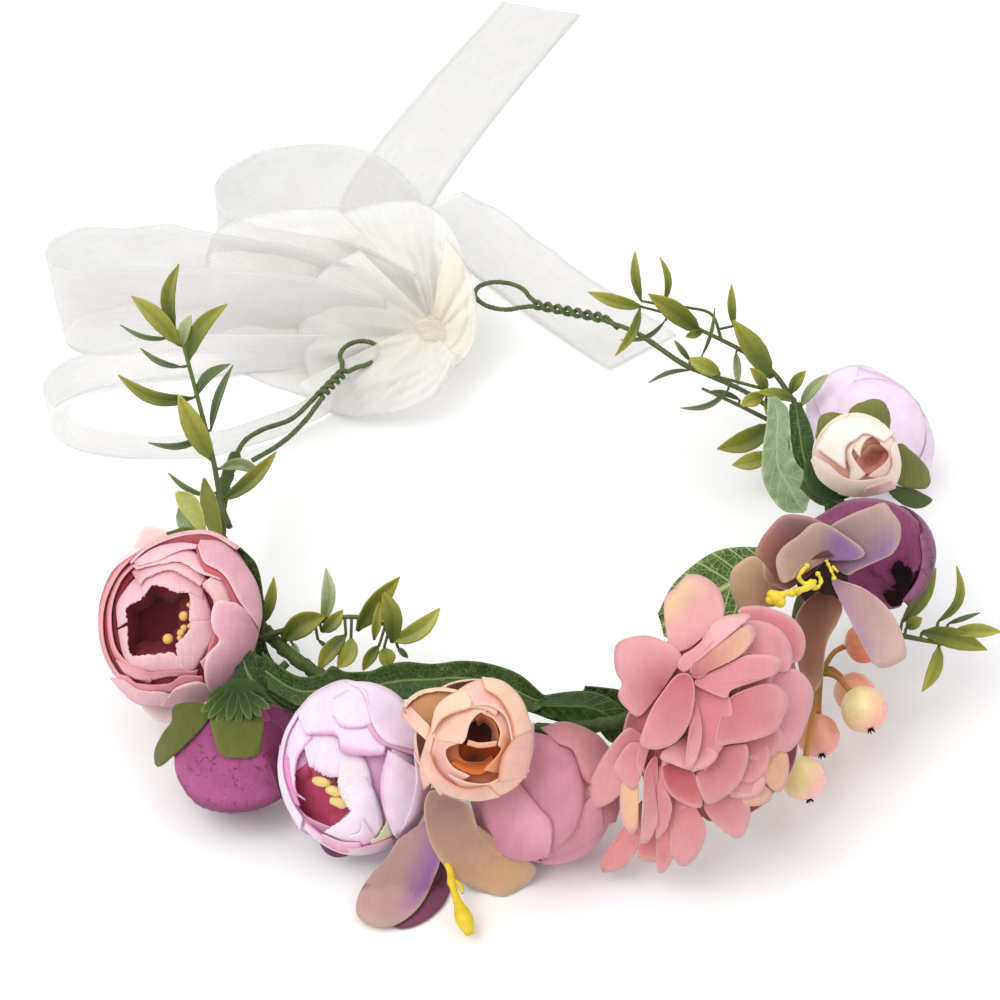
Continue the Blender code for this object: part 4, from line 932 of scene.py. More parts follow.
sprig_piece("sprig_u", [PU, (81.2, 50.7, 39), (70.4, 57.8, 43), (59, 63.4, 46), (47.3, 69.1, 49)], [
    ((642, 307), (588, 292), 14, -2, "y"), ((641, 301), (635, 251), 10, -3), ((665, 301), (660, 257), 8, 6), ((700, 332), (648, 294), 22, 2),
    ((640, 308), (615, 356), 10, -5), ((665, 321), (620, 340), 5, -8, "d"), ((734, 326), (732, 284), 9, -2), ((771, 378), (733, 320), 26, -1),
    ((703, 331), (685, 337), 9, 0), ((702, 356), (715, 308), 4, 3, "d", -3), ((736, 352), (738, 386), 8, 0, "p"), ((690, 370), (648, 383), 5, 4, "d", -3),
    ((728, 390), (680, 408), 6, -8, "d", -3), ((720, 374), (688, 358), 17, 0, "y"), ((690, 361), (674, 340), 6, 0, "d"),
    ((796, 400), (757, 392), 13, 2, "g", 3), ((766, 392), (750, 368), 12, 3), ((764, 396), (741, 406), 15, 2, "y"), ((766, 398), (774, 424), 11, 0),
    ((791, 394), (806, 371), 12, -3), ((801, 406), (828, 374), 12, -3, "p")],
    "sprig_upper_stem", "sprig_upper", seed=3, more=(((790, 396), (760, 388), (730, 380), (690, 369), (660, 350), (634, 332)), ((728, 324), (712, 315), (690, 308), (668, 306))))
sprig_piece("sprig_d", [(80, 41.5, 26.2), (70, 51.0, 25.4), (60.0, 59.5, 24.8)], [
    ((772, 424), (717, 449), 23, -5), ((770, 454), (732, 465), 18, -2, "y"), ((740, 400), (706, 392), 6, 3, "d")],
    "right_arm", "sprig_lower", seed=4, r=0.8)
sprig_piece("sprig_f", [PF, (113, -58.5, 26.5), (122, -60, 25.5)], [
    ((902, 622), (936, 568), 16, 4, "g", -8), ((906, 628), (922, 618), 12, 0), ((938, 622), (957, 566), 9, 13), ((948, 624), (980, 613), 5, 0, "d"),
    ((922, 632), (987, 650), 19, -3), ((952, 633), (1002, 632), 13, -2, "y"), ((939, 646), (922, 692), 13, -5, "y")],
    "sprig_front_stem", "sprig_front", seed=5)

# -------------------------------------------------------------------- berries
BER = [("a", V(75.6, -103.6, 18), 6.2, V(0.25, -0.75, -0.55)), ("b", V(94.5, -83.5, 24), 6.6, V(0.2, -0.9, -0.3)),
       ("c", V(82.5, -84.5, 14), 6.2, V(0.1, -0.9, -0.3)), ("d", V(94.5, -70.0, 16), 6.0, V(0.5, -0.8, -0.3)),
       ("e", V(96.5, -64.0, 30.5), 5.8, V(0.4, -0.9, -0.2))]
ROOT, HUB = V(84.0, -57.0, 24.0), V(84.5, -68, 22)
acc = Acc()
gc = lambda t: lerp(lin(120, 110, 40), lin(205, 132, 66), t)
tube_into(acc, smooth_path([ROOT, (84.2, -62, 23), HUB], 14), 0.95, 10, col=lin(96, 112, 44))
for k, c, r, ax in BER:
    end = c + unit(HUB + V(0, 6, 3) - c) * (r + 0.1)
    tube_into(acc, smooth_path([HUB, (HUB + end) / 2 + V(0, 1.0, 1.5), end], 14), lambda s: 0.8 + 0.45 * max(0, s - 0.75), 10, col=gc)
make("berry_branch", acc, "m_sprig", "berry_spray", ["berry_stems"])
TINT = {"a": (lin(248, 232, 160), lin(246, 184, 174)), "b": (lin(248, 230, 168), lin(244, 172, 158)), "c": (lin(238, 176, 140), lin(234, 160, 150)),
        "d": (lin(244, 182, 148), lin(240, 146, 136)), "e": (lin(238, 150, 112), lin(228, 118, 108))}
for q, (k, c, r, ax) in enumerate(BER):
    acc = Acc()
    ax = unit(ax)
    side = unit(V(-0.7, 0.1, 0.6))
    c0, c1 = TINT[k]
    u, w2, n2 = axes_of(ax)
    prof = [(0, -r + .25), (r * .22, -r * .98), (r * .62, -r * .79), (r * .88, -r * .46), (r * .985, -r * .05), (r * .97, r * .3), (r * .84, r * .6), (r * .56, r * .86), (r * .24, r * .97), (r * .10, r * .93)]
    hh = np.array([p[1] for p in prof]); rr = np.array([p[0] for p in prof])
    tt = np.linspace(0, 1, 22); xs = np.linspace(0, 1, len(prof))
    prof = list(zip(np.interp(tt, xs, rr), np.interp(tt, xs, hh)))
    wvb = Waves(q + 60, 3, 1.0)
    def bc(a, t, c0=c0, c1=c1, u=u, w2=w2, n2=n2, wvb=wvb):
        d = math.sin(math.pi * t) * (math.cos(a) * u + math.sin(a) * w2) - math.cos(math.pi * t) * n2
        s = d @ side * 0.5 + 0.5 + 0.08 * wvb(3 * a)
        c_ = lerp(c1, c0, max(0, min(1, (s - 0.35) * 1.9)))
        return lerp(c_, lin(120, 60, 30), max(0, t - 0.93) * 8)
    ball_into(acc, c, ax, prof, 32, col=bc, wave=lambda a, t: 1 + 0.012 * math.sin(5 * a))
    make("berry_body_" + k, acc, "m_berry", "berry_spray", ["berry_" + k])
    tip = Acc()
    for j in range(5):
        a = 2 * math.pi * j / 5 + q
        o = math.cos(a) * u + math.sin(a) * w2
        tube_into(tip, smooth_path([c + n2 * (r * .93), c + n2 * (r * .99) + o * 0.5, c + n2 * (r * 1.06 + .35) + o * 1.15], 6), lambda s: 0.34 * (1 - .6 * s), 6, col=lin(34, 20, 18))
    ball_into(tip, c + n2 * (r * .95), n2, [(0, -.5), (.7, -.2), (.8, .15), (.4, .4), (0, .45)], 10, col=lin(30, 18, 16))
    make("berry_tip_" + k, tip, "m_dark", "berry_spray")

# --------------------------------------------------------------------- leaves
def leaf(name, path, side, width, mat, rep, slot_, cup=0.2, ruffle=0.05, outline="ovate", seed=0, vcol=None, ruf=6, nu=21, nv=44, twist_=0.0, thick=0.35, droop=None):
    acc = Acc()
    path = [V(*p) for p in path]
    P = smooth_path(path, 9)
    T = unit(P[-1] - P[0])
    sd = unit(V(*side) - T * (V(*side) @ T))
    nrm = np.cross(sd, T)
    if nrm @ BV < 0:
        nrm = -nrm
    petal(acc, path[0], path[-1], width, nrm, cup=cup, outline=outline, col=vcol if vcol is not None else V(1, 1, 1), seed=seed, ruffle=ruffle,
          nu=nu, nv=nv, mid=path[1:-1], ruf=ruf, drop=0.0, twist=twist_)
    return make(name, acc, mat, "frame", [rep], thick=thick)
def leaf_view(name, D, A, B, mat, reps, body="frame", jag=0.0, wav=0.3, bow=0.8, lift=0.0, tint=(1, 1, 1), rim=(1.5, 1.45, 1.4),
              seed=0, nv=15, smooth=True, thick=0.35, step=2.2, rise=0.3, fold=0.6):
    """Leaf between its two edges A and B, both from stalk to tip in the view plane."""
    acc = Acc()
    LB = np.sum(np.linalg.norm(np.diff(np.array(B, float), axis=0), axis=1))
    n = int(min(110, max(16, LB / step)))
    a_, b_ = resample(A, n, False, smooth), resample(B, n, False, smooth)
    r = np.random.RandomState(seed + 5)
    wv = Waves(seed * 5 + 3, 5, 2.0)
    mid = (a_ + b_) / 2
    arc = np.concatenate([[0], np.cumsum(np.linalg.norm(np.diff(mid, axis=0), axis=1))]) * 0.31
    P = np.zeros((n, nv, 3)); UVm = np.zeros((n, nv, 2)); C = np.zeros((n, nv, 3)); ST = np.zeros((n, nv, 2))
    for i in range(n):
        ja, jb = (r.rand(2) - 0.5) * 2 * jag
        wd = np.linalg.norm(b_[i] - a_[i])
        for j in range(nv):
            t = j / (nv - 1)
            q = 2 * t - 1
            p = a_[i] + (b_[i] - a_[i]) * t
            e = abs(q) ** 3
            h = lift + bow * math.sin(math.pi * i / (n - 1)) - fold * (1 - abs(q)) * min(1, wd / 20) + wav * e * wv(i / n * 9 + (2 if q > 0 else 0)) + rise * e
            P[i, j] = D.P(p + (b_[i] - a_[i]) * (ja if q < 0 else jb) * e / max(wd, 4), h)
            UVm[i, j] = (q * wd * 0.155, arc[i])
            ST[i, j] = (t, i / (n - 1))
            C[i, j] = lerp(V(*tint), V(*tint) * V(*rim), abs(q) ** 12)
    acc.grid(P, UVm, C, ST)
    return make(name, acc, mat, body, reps, thick=thick)
DL = Dome(V(-40, -80, 35.5), 1e4, 0.0)
leaf_view("leaf_long_blade", DL, [(268, 690), (300, 706), (345, 702), (400, 700), (450, 694), (500, 704), (532, 712), (548, 702)],
          [(262, 652), (285, 670), (302, 677), (322, 674), (332, 666), (346, 672), (370, 671), (386, 665), (406, 662), (432, 664), (462, 661), (490, 664), (520, 675), (548, 700)],
          "m_leaf_net", ["leaf_long"], wav=0.7, seed=4, bow=1.0, fold=0.9)
DG = Dome(V(16, -81.5, 33), 1e4, 0.0)
leaf_view("leaf_gloss_blade", DG, [(540, 716), (565, 722), (585, 724), (602, 732), (615, 743), (626, 742)], [(540, 696), (565, 692), (588, 691), (606, 696), (622, 707), (634, 728)],
          "m_leaf_gloss", ["leaf_gloss"], wav=0.4, seed=5, bow=1.2, fold=-0.8)
# underside of the glossy leaf, tinted bright green as a painted highlight
leaf_view("leaf_gloss_under_highlight", Dome(V(20, -83, 31.5), 1e4, 0.0), [(590, 712), (598, 728), (610, 742), (622, 742)], [(596, 706), (612, 716), (622, 730), (624, 741)],
          "m_leaf_gloss", [], wav=0.2, seed=6, tint=(3.2, 2.6, 1.6))
DV_ = Dome(V(58, -48, 40.5), 1e4, 0.0)
leaf_view("leaf_veined_blade", DV_, [(784, 585), (760, 604), (735, 622), (706, 640), (684, 645), (664, 636)], [(784, 552), (752, 547), (720, 550), (695, 564), (672, 586), (658, 614)],
          "m_leaf_net2", ["leaf_veined"], wav=0.5, seed=7, bow=1.2)
DP = Dome(V(80.5, 10, 38.5), 1e4, 0.0)
leaf_view("leaf_pale_blade", DP, [(768, 398), (767, 420), (763, 448), (762, 474), (769, 494), (784, 511), (803, 513)], [(776, 396), (788, 410), (791, 438), (795, 460), (806, 474), (811, 490), (806, 510)],
          "m_leaf_pale", ["leaf_pale_right"], wav=0.9, seed=8, bow=1.0)
leaf_view("leaf_dark_right", Dome(V(85, 8, 36), 1e4, 0.0), [(790, 404), (788, 430), (790, 458), (800, 478), (812, 482)], [(800, 402), (810, 424), (815, 446), (818, 466), (814, 482)],
          "m_leaf_net", [], wav=0.4, seed=9)
leaf_view("leaf_dark_right_low", Dome(V(90, -8, 34), 1e4, 0.0), [(800, 488), (812, 500), (824, 506), (838, 506)], [(806, 470), (826, 486), (838, 494), (846, 502)], "m_leaf_net", [], wav=0.4, seed=10)
# loose greenery between the flowers on the left, tinted darker as painted shade under the flowers
leaf_view("leaf_behind_rose", Dome(V(-83, -66, 27), 1e4, 0.0), [(226, 560), (240, 600), (242, 640), (250, 672), (282, 694)], [(240, 547), (257, 566), (264, 604), (265, 640), (276, 664), (302, 682)],
          "m_leaf_net", [], wav=0.5, seed=11, tint=(.55, .62, .55))
leaf_view("leaf_cluster_a", Dome(V(-75, -80, 29), 1e4, 0.0), [(236, 668), (232, 690), (244, 712), (268, 724), (296, 716)], [(250, 650), (268, 662), (286, 680), (300, 698), (306, 712)],
          "m_leaf_net", [], wav=0.7, seed=12, tint=(.6, .66, .6))
leaf_view("leaf_cluster_b", Dome(V(-68, -82, 31), 1e4, 0.0), [(262, 668), (268, 690), (284, 706), (308, 712)], [(268, 660), (292, 676), (310, 690), (318, 706)],
          "m_leaf_net", [], wav=0.6, seed=13, tint=(.75, .8, .75))
leaf_view("leaf_pale_left", Dome(V(-94, -40, 30), 1e4, 0.0), [(196, 540), (182, 532), (176, 520), (178, 508)], [(200, 538), (196, 520), (190, 508), (182, 504)], "m_leaf_pale", [], seed=14)
for k, (A_, B_, m_, tn) in enumerate((
    ([(214, 540), (204, 520), (200, 498), (203, 478)], [(222, 540), (221, 520), (216, 498), (205, 478)], "m_sprig", tuple(lin(116, 124, 44))),
    ([(202, 536), (188, 520), (178, 506), (175, 493)], [(206, 530), (202, 508), (192, 494), (178, 491)], "m_sprig", tuple(lin(168, 176, 96))),
    ([(206, 540), (186, 540), (168, 536)], [(204, 532), (186, 527), (166, 533)], "m_sprig", tuple(lin(96, 118, 44))))):
    leaf_view("leaf_base_left_%d" % k, Dome(V(-94, -38, 33 + k), 1e4, 0.0), A_, B_, m_, [], seed=15 + k, wav=0.2, tint=tn, rim=(1.25, 1.25, 1.2))
# the small lobed leaf under the rose peony
DS_ = Dome(V(-80, -88.0, 41.0), 1e4, 0.0)
acc = Acc()
for k, (tip, w_) in enumerate((((201, 712), 5.5), ((208, 719), 5), ((217, 724), 5.5), ((228, 722), 5.5), ((239, 725), 5.5), ((250, 720), 5.5), ((261, 717), 5.5), ((270, 709), 5))):
    bx, by = 238 + (tip[0] - 238) * .28, 692 + (k % 2)
    dx, dy = tip[0] - bx, tip[1] - by
    ln = math.hypot(dx, dy)
    px_, py_ = -dy / ln, dx / ln
    ol = [(bx + dx * t + px_ * w_ * q, by + dy * t + py_ * w_ * q) for t, q in ((0, .5), (.3, .8), (.55, .95), (.72, .72), (.86, .62), (1, 0), (.86, -.62), (.72, -.72), (.55, -.95), (.3, -.8), (0, -.5))]
    patch(acc, DS_, ol, (bx, by), (38, 56, 22), (72, 92, 40), lift=0.5 + 0.3 * (k % 2), rise=0.6, seed=k + 5, edge=(122, 142, 84), dome=0.5, step=1.6, smooth=True)
band(acc, DS_, [(222, 696), (240, 700), (258, 692)], [(206, 704), (212, 692), (226, 683), (242, 679), (258, 683), (270, 700)], (36, 56, 22), (58, 82, 34), lift=0.6, rise=0.3, seed=3)
make("leaf_lobed_blade", acc, "m_sepal", "frame", ["leaf_serrated"], thick=0.4)
# leaves that fill in behind the peach rose and the dusty bloom, tinted darker as painted shade
leaf_view("leaf_fill_mid", Dome(V(8, -84, 29), 1e4, 0.0), [(500, 700), (530, 712), (560, 722), (590, 724)], [(505, 680), (535, 692), (562, 700), (594, 712)], "m_leaf_net", [], seed=21, tint=(.55, .6, .55), wav=.5)
leaf_view("leaf_fill_right", Dome(V(28, -85, 27), 1e4, 0.0), [(580, 700), (605, 712), (625, 726), (640, 730)], [(585, 686), (606, 688), (622, 692), (645, 712)], "m_leaf_net", [], seed=22, tint=(.5, .55, .5), wav=.4)

# --------------------------------------------------------------- organza bow
def ribbon_strip(acc, path, up, width, n=110, wave=0.0, tilt=0.0, seed=0, crease=(), fade=None, nw=13, clampz=0.35, amp_s=1.0, pinch=None, col=None):
    """Ribbon along a path; up is the direction across it."""
    P = smooth_path(path, n)
    arc = np.concatenate([[0], np.cumsum(np.linalg.norm(np.diff(P, axis=0), axis=1))])
    T = np.gradient(P, axis=0); T /= np.linalg.norm(T, axis=1)[:, None]
    wv, wv2 = Waves(seed + 31, 5, 1.0), Waves(seed + 32, 5, 1.0)
    G = np.zeros((n, nw, 3)); UVm = np.zeros((n, nw, 2)); C = np.zeros((n, nw, 3)); ST = np.zeros((n, nw, 2))
    for i in range(n):
        s = i / (n - 1)
        u0 = unit(V(*(up(s) if callable(up) else up)))
        nr = unit(np.cross(T[i], u0))
        wd = width * (pinch(s) if pinch else 1.0)
        for j in range(nw):
            v = -1 + 2 * j / (nw - 1)
            off = wave * (wv(s * 14 + 0.4 * v) * 0.8 + 0.7 * v * wv2(s * 9 + 1))
            for (cs, ca, cw) in crease:
                off += ca * math.exp(-((s - cs - 0.02 * v) / cw) ** 2)
            p = P[i] + u0 * (v * wd / 2) + nr * off + nr * tilt * v
            if p[2] < clampz:
                p[2] = clampz
            G[i, j] = p
            UVm[i, j] = (v * width / 2, arc[i])
            ST[i, j] = (s, j / (nw - 1))
            C[i, j] = col(s, v) if col else V(1, 1, 1)
    acc.grid(G, UVm, C, ST)
    return arc[-1]
up = (0, 0, 1)
acc = Acc()
# upper loop: stands upright, narrowed at both ends
Lt = ribbon_strip(acc, [(-28.5, 119.5, 19.2), (-33, 138, 19.2), (-39, 163, 19.2), (-56, 185, 19.2), (-79, 193, 19.2), (-103, 184, 19.2),
                        (-114.5, 163, 19.2), (-103, 142, 19.2), (-80, 133, 19.2), (-58, 127, 19.2), (-38, 117.2, 19.2)], up, 37, wave=1.1, seed=1,
                  pinch=lambda s: 1 - 0.35 * (math.exp(-(s / .08) ** 2) + math.exp(-((1 - s) / .08) ** 2)))
o = make("bow_loop_top", acc, "m_organza", "left_arm", ["ribbon_loop_top"], thick=0.25)
acc = Acc()
Ll = ribbon_strip(acc, [(-47.5, 113.0, 19.2), (-70, 121.5, 19.2), (-102, 131, 19.2), (-140, 137.5, 19.2), (-163, 133, 19.2), (-168.5, 121, 19.2),
                        (-160, 110.5, 19.2), (-130, 111, 19.2), (-95, 109.5, 19.2), (-66, 106.5, 19.2), (-48, 104.3, 19.2)], up, 37, wave=1.2, seed=2,
                  crease=((0.30, 2.2, 0.02), (0.36, -1.5, 0.02), (0.42, 1.8, 0.018)),
                  pinch=lambda s: 1 - 0.35 * (math.exp(-(s / .08) ** 2) + math.exp(-((1 - s) / .08) ** 2)))
o = make("bow_loop_left", acc, "m_organza", "left_arm", ["ribbon_loop_left"], thick=0.25)
acc = Acc()
Lw = ribbon_strip(acc, [(-47.5, 98.5, 8.2), (-75, 99.5, 8.6), (-110, 99, 8.8), (-142, 93.5, 9), (-163, 80, 9), (-163, 64, 9),
                        (-148, 52.5, 8.6), (-125, 48.5, 8.4), (-100, 52, 8.4), (-76, 66, 8.2), (-62, 80.5, 8), (-46.5, 92.0, 8)],
                  lambda s: V(0.0, 0.35 * math.sin(2 * math.pi * s), 1), 15, wave=1.0, seed=3)
o = make("bow_loop_lower", acc, "m_organza", "left_arm", ["ribbon_loop_lower"], thick=0.25)
acc = Acc()
La = ribbon_strip(acc, [(-36, 122, 4.0), (-40, 134, 1.2), (-49, 165, 0.5), (-54, 203, 0.5), (-45, 237, 0.5), (-20, 300, 0.5), (11, 371, 0.5)], (0.93, -0.3, 0), 37.5,
                  wave=0.55, seed=4, pinch=lambda s: 0.45 + 0.55 * min(1, s * 7))
o = make("bow_tail_long", acc, "m_organza", "left_arm", ["ribbon_tail_long"], thick=0.22)
acc = Acc()
Lb = ribbon_strip(acc, [(-36.0, 206, 0.9), (-17.0, 187, 1.2), (-5, 170, 1.0), (18, 141, 0.8), (44, 111, 0.8)], (0.78, 0.63, 0), 33, wave=0.6, seed=5, n=90, clampz=0.6)
o = make("bow_tail_right", acc, "m_organza", "left_arm", ["ribbon_tail_right"], thick=0.22)
# knot: a tight wrapped middle, with gathered lobes that fan out of it
KN = V(-33.0, 101.5, 14.2)
acc = Acc()
def knot_wave(a, t):
    return 1 + 0.07 * math.sin(7 * a + 5.0 * t) * math.sin(math.pi * t) + 0.04 * math.sin(13 * a - 4 * t + 1.0)
ball_into(acc, KN, V(0.93, -0.2, 0.25), ball_prof(7.6, 7.0, 7.0, m=26), 96, col=V(0.99, 0.975, 0.93), wave=knot_wave)
make("bow_knot", acc, "m_organza_cream", "left_arm", ["ribbon_knot"])
def lobe(name, C, A, B, R, Bh, pleat, c=((0.985, 0.955, 0.885), (1.0, 1.0, 1.0)), lift=0.0, seed=0, rise=0.0, zmin=0.6, mat="m_organza", n=130, nv=24, wav=0.5, root=0.0):
    acc = Acc()
    D_ = Dome(C, R, Bh, zmin=zmin, fall=0.5)
    a_, b_ = resample(A, n), resample(B, n)
    wv = Waves(seed + 3, 4, 2.0)
    P = np.zeros((n, nv, 3)); UVm = np.zeros((n, nv, 2)); C_ = np.zeros((n, nv, 3)); ST = np.zeros((n, nv, 2))
    for i in range(n):
        q = i / (n - 1)
        for j in range(nv):
            t = j / (nv - 1)
            p = a_[i] + (b_[i] - a_[i]) * t
            fq = pleat[0] * (q + 0.10 * math.sin(5.1 * q + seed) + 0.05 * math.sin(11.3 * q + 2 * seed))
            h = lift + rise * t * t + pleat[1] * (0.5 + 0.8 * abs(math.sin(3.3 * q + seed))) * math.sin(2 * math.pi * fq + 0.9 * t) * min(1, t * 4 + .2) * (1 - 0.85 * t ** 1.3) + wav * wv(q * 6 + t * 2) * t + 0.7 * wv(2 * q + 3 * t) - root * (1 - t) ** 3
            P[i, j] = D_.P(p, h)
            UVm[i, j] = (q * 60, t * np.linalg.norm(b_[i] - a_[i]) * .31)
            ST[i, j] = (q, t * .94 + .03)
            C_[i, j] = lerp(V(*c[0]), V(*c[1]), t)
    acc.grid(P, UVm, C_, ST)
    o = make(name, acc, mat, "left_arm", ["ribbon_knot"], thick=0.22)
    return o
lobe("bow_lobe_mid", V(-60, 114, 11), [(424, 296), (414, 312), (409, 332), (412, 352)], [(336, 208), (268, 212), (216, 232), (205, 282), (211, 332), (248, 374), (306, 396)], 54, 9, (3.1, 1.0), seed=6, lift=-2.0, root=4)
lobe("bow_lobe_up", KN + V(0, 8, 2), [(418, 326), (425, 319), (434, 318), (441, 325)], [(300, 262), (318, 226), (362, 206), (408, 200), (438, 212), (458, 240), (468, 272)], 32, 5, (3.3, 1.0), seed=3, lift=-2.0, root=3)
lobe("bow_lobe_left", KN + V(-6, 0, -1), [(428, 318), (420, 326), (418, 334), (424, 342)], [(360, 250), (322, 272), (300, 312), (302, 350), (312, 380), (336, 402)], 34, 8, (3.4, 0.9), seed=2, lift=-0.5, root=5)
lobe("bow_lobe_low", KN + V(-6, -6, -4), [(416, 325), (420, 336), (430, 342), (440, 340)], [(296, 384), (318, 406), (350, 417), (386, 414), (412, 407), (432, 398), (446, 382), (458, 360)], 38, 23, (2.7, 0.9), seed=1, lift=-1.0, root=13)
lobe("bow_lobe_right", KN + V(3, 0, 0), [(432, 316), (442, 325), (441, 335), (434, 342)], [(446, 238), (464, 262), (475, 294), (477, 326), (470, 350), (454, 370)], 30, 6, (3.2, 0.8), seed=4, lift=-0.4, root=3, mat="m_organza_cream")

# =================================================================== flowers
def back_wraps(acc, key, n, cols, th0=172, th1=78, r=0.955, seed=0, drop=10, flare=0.02, floor_=0.3):
    """Petals that cover a flower's sides and back."""
    C, nn, a, bf, bb = dims(key)
    for k in range(n):
        q = Acc()
        wrap_petal(q, C, nn, a, bf, bb, 360.0 * k / n + seed * 17, 360.0 / n * 0.74, th0, th1, r=r + 0.02 * (k % 2),
                   flare=flare, drop=drop, col=shade(lin(*cols[0]), lin(*cols[1]), seed=seed * 9 + k), seed=seed * 9 + k)
        P = q.v[0]
        P[:, 2] = np.maximum(P[:, 2], floor_)
        acc.grid(P.reshape(17, 12, 3), q.uv[0].reshape(17, 12, 2), q.c[0].reshape(17, 12, 3), q.st[0].reshape(17, 12, 2))

def calyx_piece(name, key, cov, rep, n=5, r=1.045, wide=0.62, col=((70, 80, 26), (104, 112, 44)), stem=True, off=4.2, extra=None):
    """Cloth sepals under a flower and its stalk to the taped wire."""
    C, nn, a, bf, bb = dims(key)
    acc = Acc()
    for k in range(n):
        wrap_petal(acc, C, nn, a, bf, bb, 360.0 * k / n + 20, 360.0 / n * wide, 178, 180 - cov, r=r, drop=cov * 0.45, jag=2.0,
                   col=shade(lin(*col[0]), lin(*col[1]), seed=k + 3), seed=k + 40, nu=13, nv=10)
    for v in acc.v:
        v[:, 2] = np.maximum(v[:, 2], 0.3)
    if extra:
        extra(acc)
    o = make(name + "_cloth", acc, "m_sepal", "frame", [rep], thick=0.5)
    if stem:
        acc = Acc()
        p0 = C - nn * (bb - 1.0)
        ang = math.atan2(p0[1], p0[0])
        rad = math.hypot(p0[0], p0[1])
        q = V(RING_R * math.cos(ang), RING_R * math.sin(ang), RING_Z)
        dq = unit(p0 - q)
        end = q + dq * 2.6
        tube_into(acc, smooth_path([p0, (p0 + end) / 2 - nn * 1.0, end], 14), 1.15, 10, col=lin(70, 92, 48))
        make(name + "_stalk", acc, "m_tape", "frame")
    return o

# ------------------------------------------------ rose-pink peony on the left
C, nn, a, bf, bb = dims("peony_rose")
D = Dome(C, 25.2, 17.5)
SIL = [(98, 640), (97, 615), (101, 590), (112, 568), (134, 552), (160, 541), (190, 536), (215, 537), (236, 548), (250, 567), (258, 590), (260, 612), (256, 640), (246, 664), (232, 683), (212, 698), (190, 706), (165, 707), (140, 701), (122, 688), (107, 665)]
def shrink(P, k, c=None):
    P = np.array(P, float)
    c = P.mean(0) if c is None else np.array(c, float)
    return [tuple(q) for q in c + (P - c) * k]
OPEN = [(126, 609), (134, 603), (145, 597), (150, 588), (156, 585), (163, 587), (170, 590), (178, 593), (188, 591), (190, 600), (189, 612), (188, 622), (190, 630), (182, 637), (176, 645), (178, 650), (172, 653), (160, 653), (150, 655), (138, 652), (128, 654), (127, 640), (126, 622)]
acc = Acc()
# underlay beneath the petals, darkening towards the opening: painted shade where it shows between them
band(acc, D, shrink(SIL, 0.97), shrink(OPEN, 1.25), (196, 88, 100), (150, 48, 62), lift=-1.6, rise=-1.6, closed=True, seed=1, nv=14, tuck=0.3)
# walls and floor of the opening: burgundy inside, darkened towards the floor with painted shade
band(acc, D, shrink(OPEN, 1.25), shrink(OPEN, 0.50), (150, 46, 60), (84, 18, 30), lift=-3.6, rise=-9, closed=True, seed=2, nv=8, tuck=0)
patch(acc, D, shrink(OPEN, 0.86), (158, 622), (84, 18, 30), (104, 28, 42), lift=-9.6, rise=0.2, seed=3)
make("peony_rose_depths", acc, "m_petal_soft", "frame", ["peony_rose_petals_inner"], thick=0.3)

acc = Acc()
back_wraps(acc, "peony_rose", 6, ((222, 150, 168), (230, 168, 180)), seed=1, th1=70)
PK, PL_, PE, CO, CR = (226, 164, 182), (233, 178, 192), (240, 196, 200), (206, 98, 106), (216, 130, 140)
# left edge: thin upright petals, with painted shade in the dark gaps between them
band(acc, D, [(140, 552), (120, 566), (106, 588), (99, 615), (101, 645), (113, 672), (138, 698)], [(140, 553), (122, 569), (109, 592), (103, 616), (105, 645), (117, 671), (141, 695)], CR, (232, 170, 172), lift=-0.5, rise=0.6, seed=5)
band(acc, D, [(109, 592), (102, 607), (102, 630), (108, 655), (122, 678), (142, 696)], [(113, 594), (108, 609), (108, 630), (113, 653), (126, 674), (142, 688)], (130, 24, 38), (150, 34, 46), lift=-1.3, rise=0.0, seed=6)
band(acc, D, [(134, 562), (118, 580), (108, 606), (108, 632), (114, 655), (130, 674), (150, 684)], [(136, 564), (121, 581), (112, 606), (112, 632), (118, 652), (134, 668), (152, 680)], CO, (236, 170, 174), lift=-0.5, rise=0.7, seed=7)
band(acc, D, [(138, 566), (124, 580), (113, 604), (113, 632), (120, 652), (136, 668)], [(140, 571), (128, 584), (118, 606), (117, 630), (125, 650), (138, 664)], (128, 24, 36), (140, 30, 42), lift=-1.2, rise=0.0, seed=8)
# petals round the opening, jagged at the rim
band(acc, D, [(118, 628), (117, 606), (124, 592), (136, 578), (150, 572)], [(127, 622), (126, 609), (134, 603), (141, 599), (147, 592)], PL_, PE, lift=-0.4, rise=0.3, jag=0.9, seed=9)
band(acc, D, [(136, 578), (150, 571), (172, 567), (190, 576), (202, 585), (204, 600)], [(144, 597), (150, 588), (156, 585), (170, 590), (180, 593), (189, 591)], PK, PE, lift=-0.2, rise=0.4, jag=0.9, seed=10)
band(acc, D, [(200, 584), (207, 600), (213, 618), (214, 632)], [(188, 591), (190, 602), (189, 612), (189, 622)], PK, PE, lift=-0.5, rise=0.3, jag=0.7, seed=11)
band(acc, D, [(212, 620), (216, 636), (206, 652), (196, 668), (190, 675)], [(190, 622), (188, 632), (180, 640), (176, 647), (180, 668)], PL_, PE, lift=0.1, rise=0.4, jag=0.8, seed=12)
band(acc, D, [(192, 676), (172, 676), (152, 676), (136, 674), (124, 656), (118, 630)], [(180, 660), (172, 653), (158, 654), (146, 655), (130, 654), (127, 626)], PK, PE, lift=0.3, rise=0.4, jag=0.9, seed=13)
# second row above
band(acc, D, [(132, 572), (150, 560), (178, 556), (198, 566), (206, 580)], [(140, 586), (148, 577), (170, 570), (186, 577), (200, 586)], CR, PE, lift=0.3, rise=0.5, jag=0.6, edge=(240, 190, 190), seed=14)
band(acc, D, [(132, 566), (150, 553), (178, 546), (200, 556), (222, 572)], [(136, 569), (156, 565), (180, 562), (200, 573), (222, 580)], PK, PE, lift=0.7, rise=0.6, jag=0.5, seed=15)
band(acc, D, [(134, 562), (155, 548), (180, 543), (199, 545)], [(138, 566), (160, 560), (178, 551), (196, 548)], PL_, PE, lift=1.0, rise=0.6, jag=0.4, seed=16)
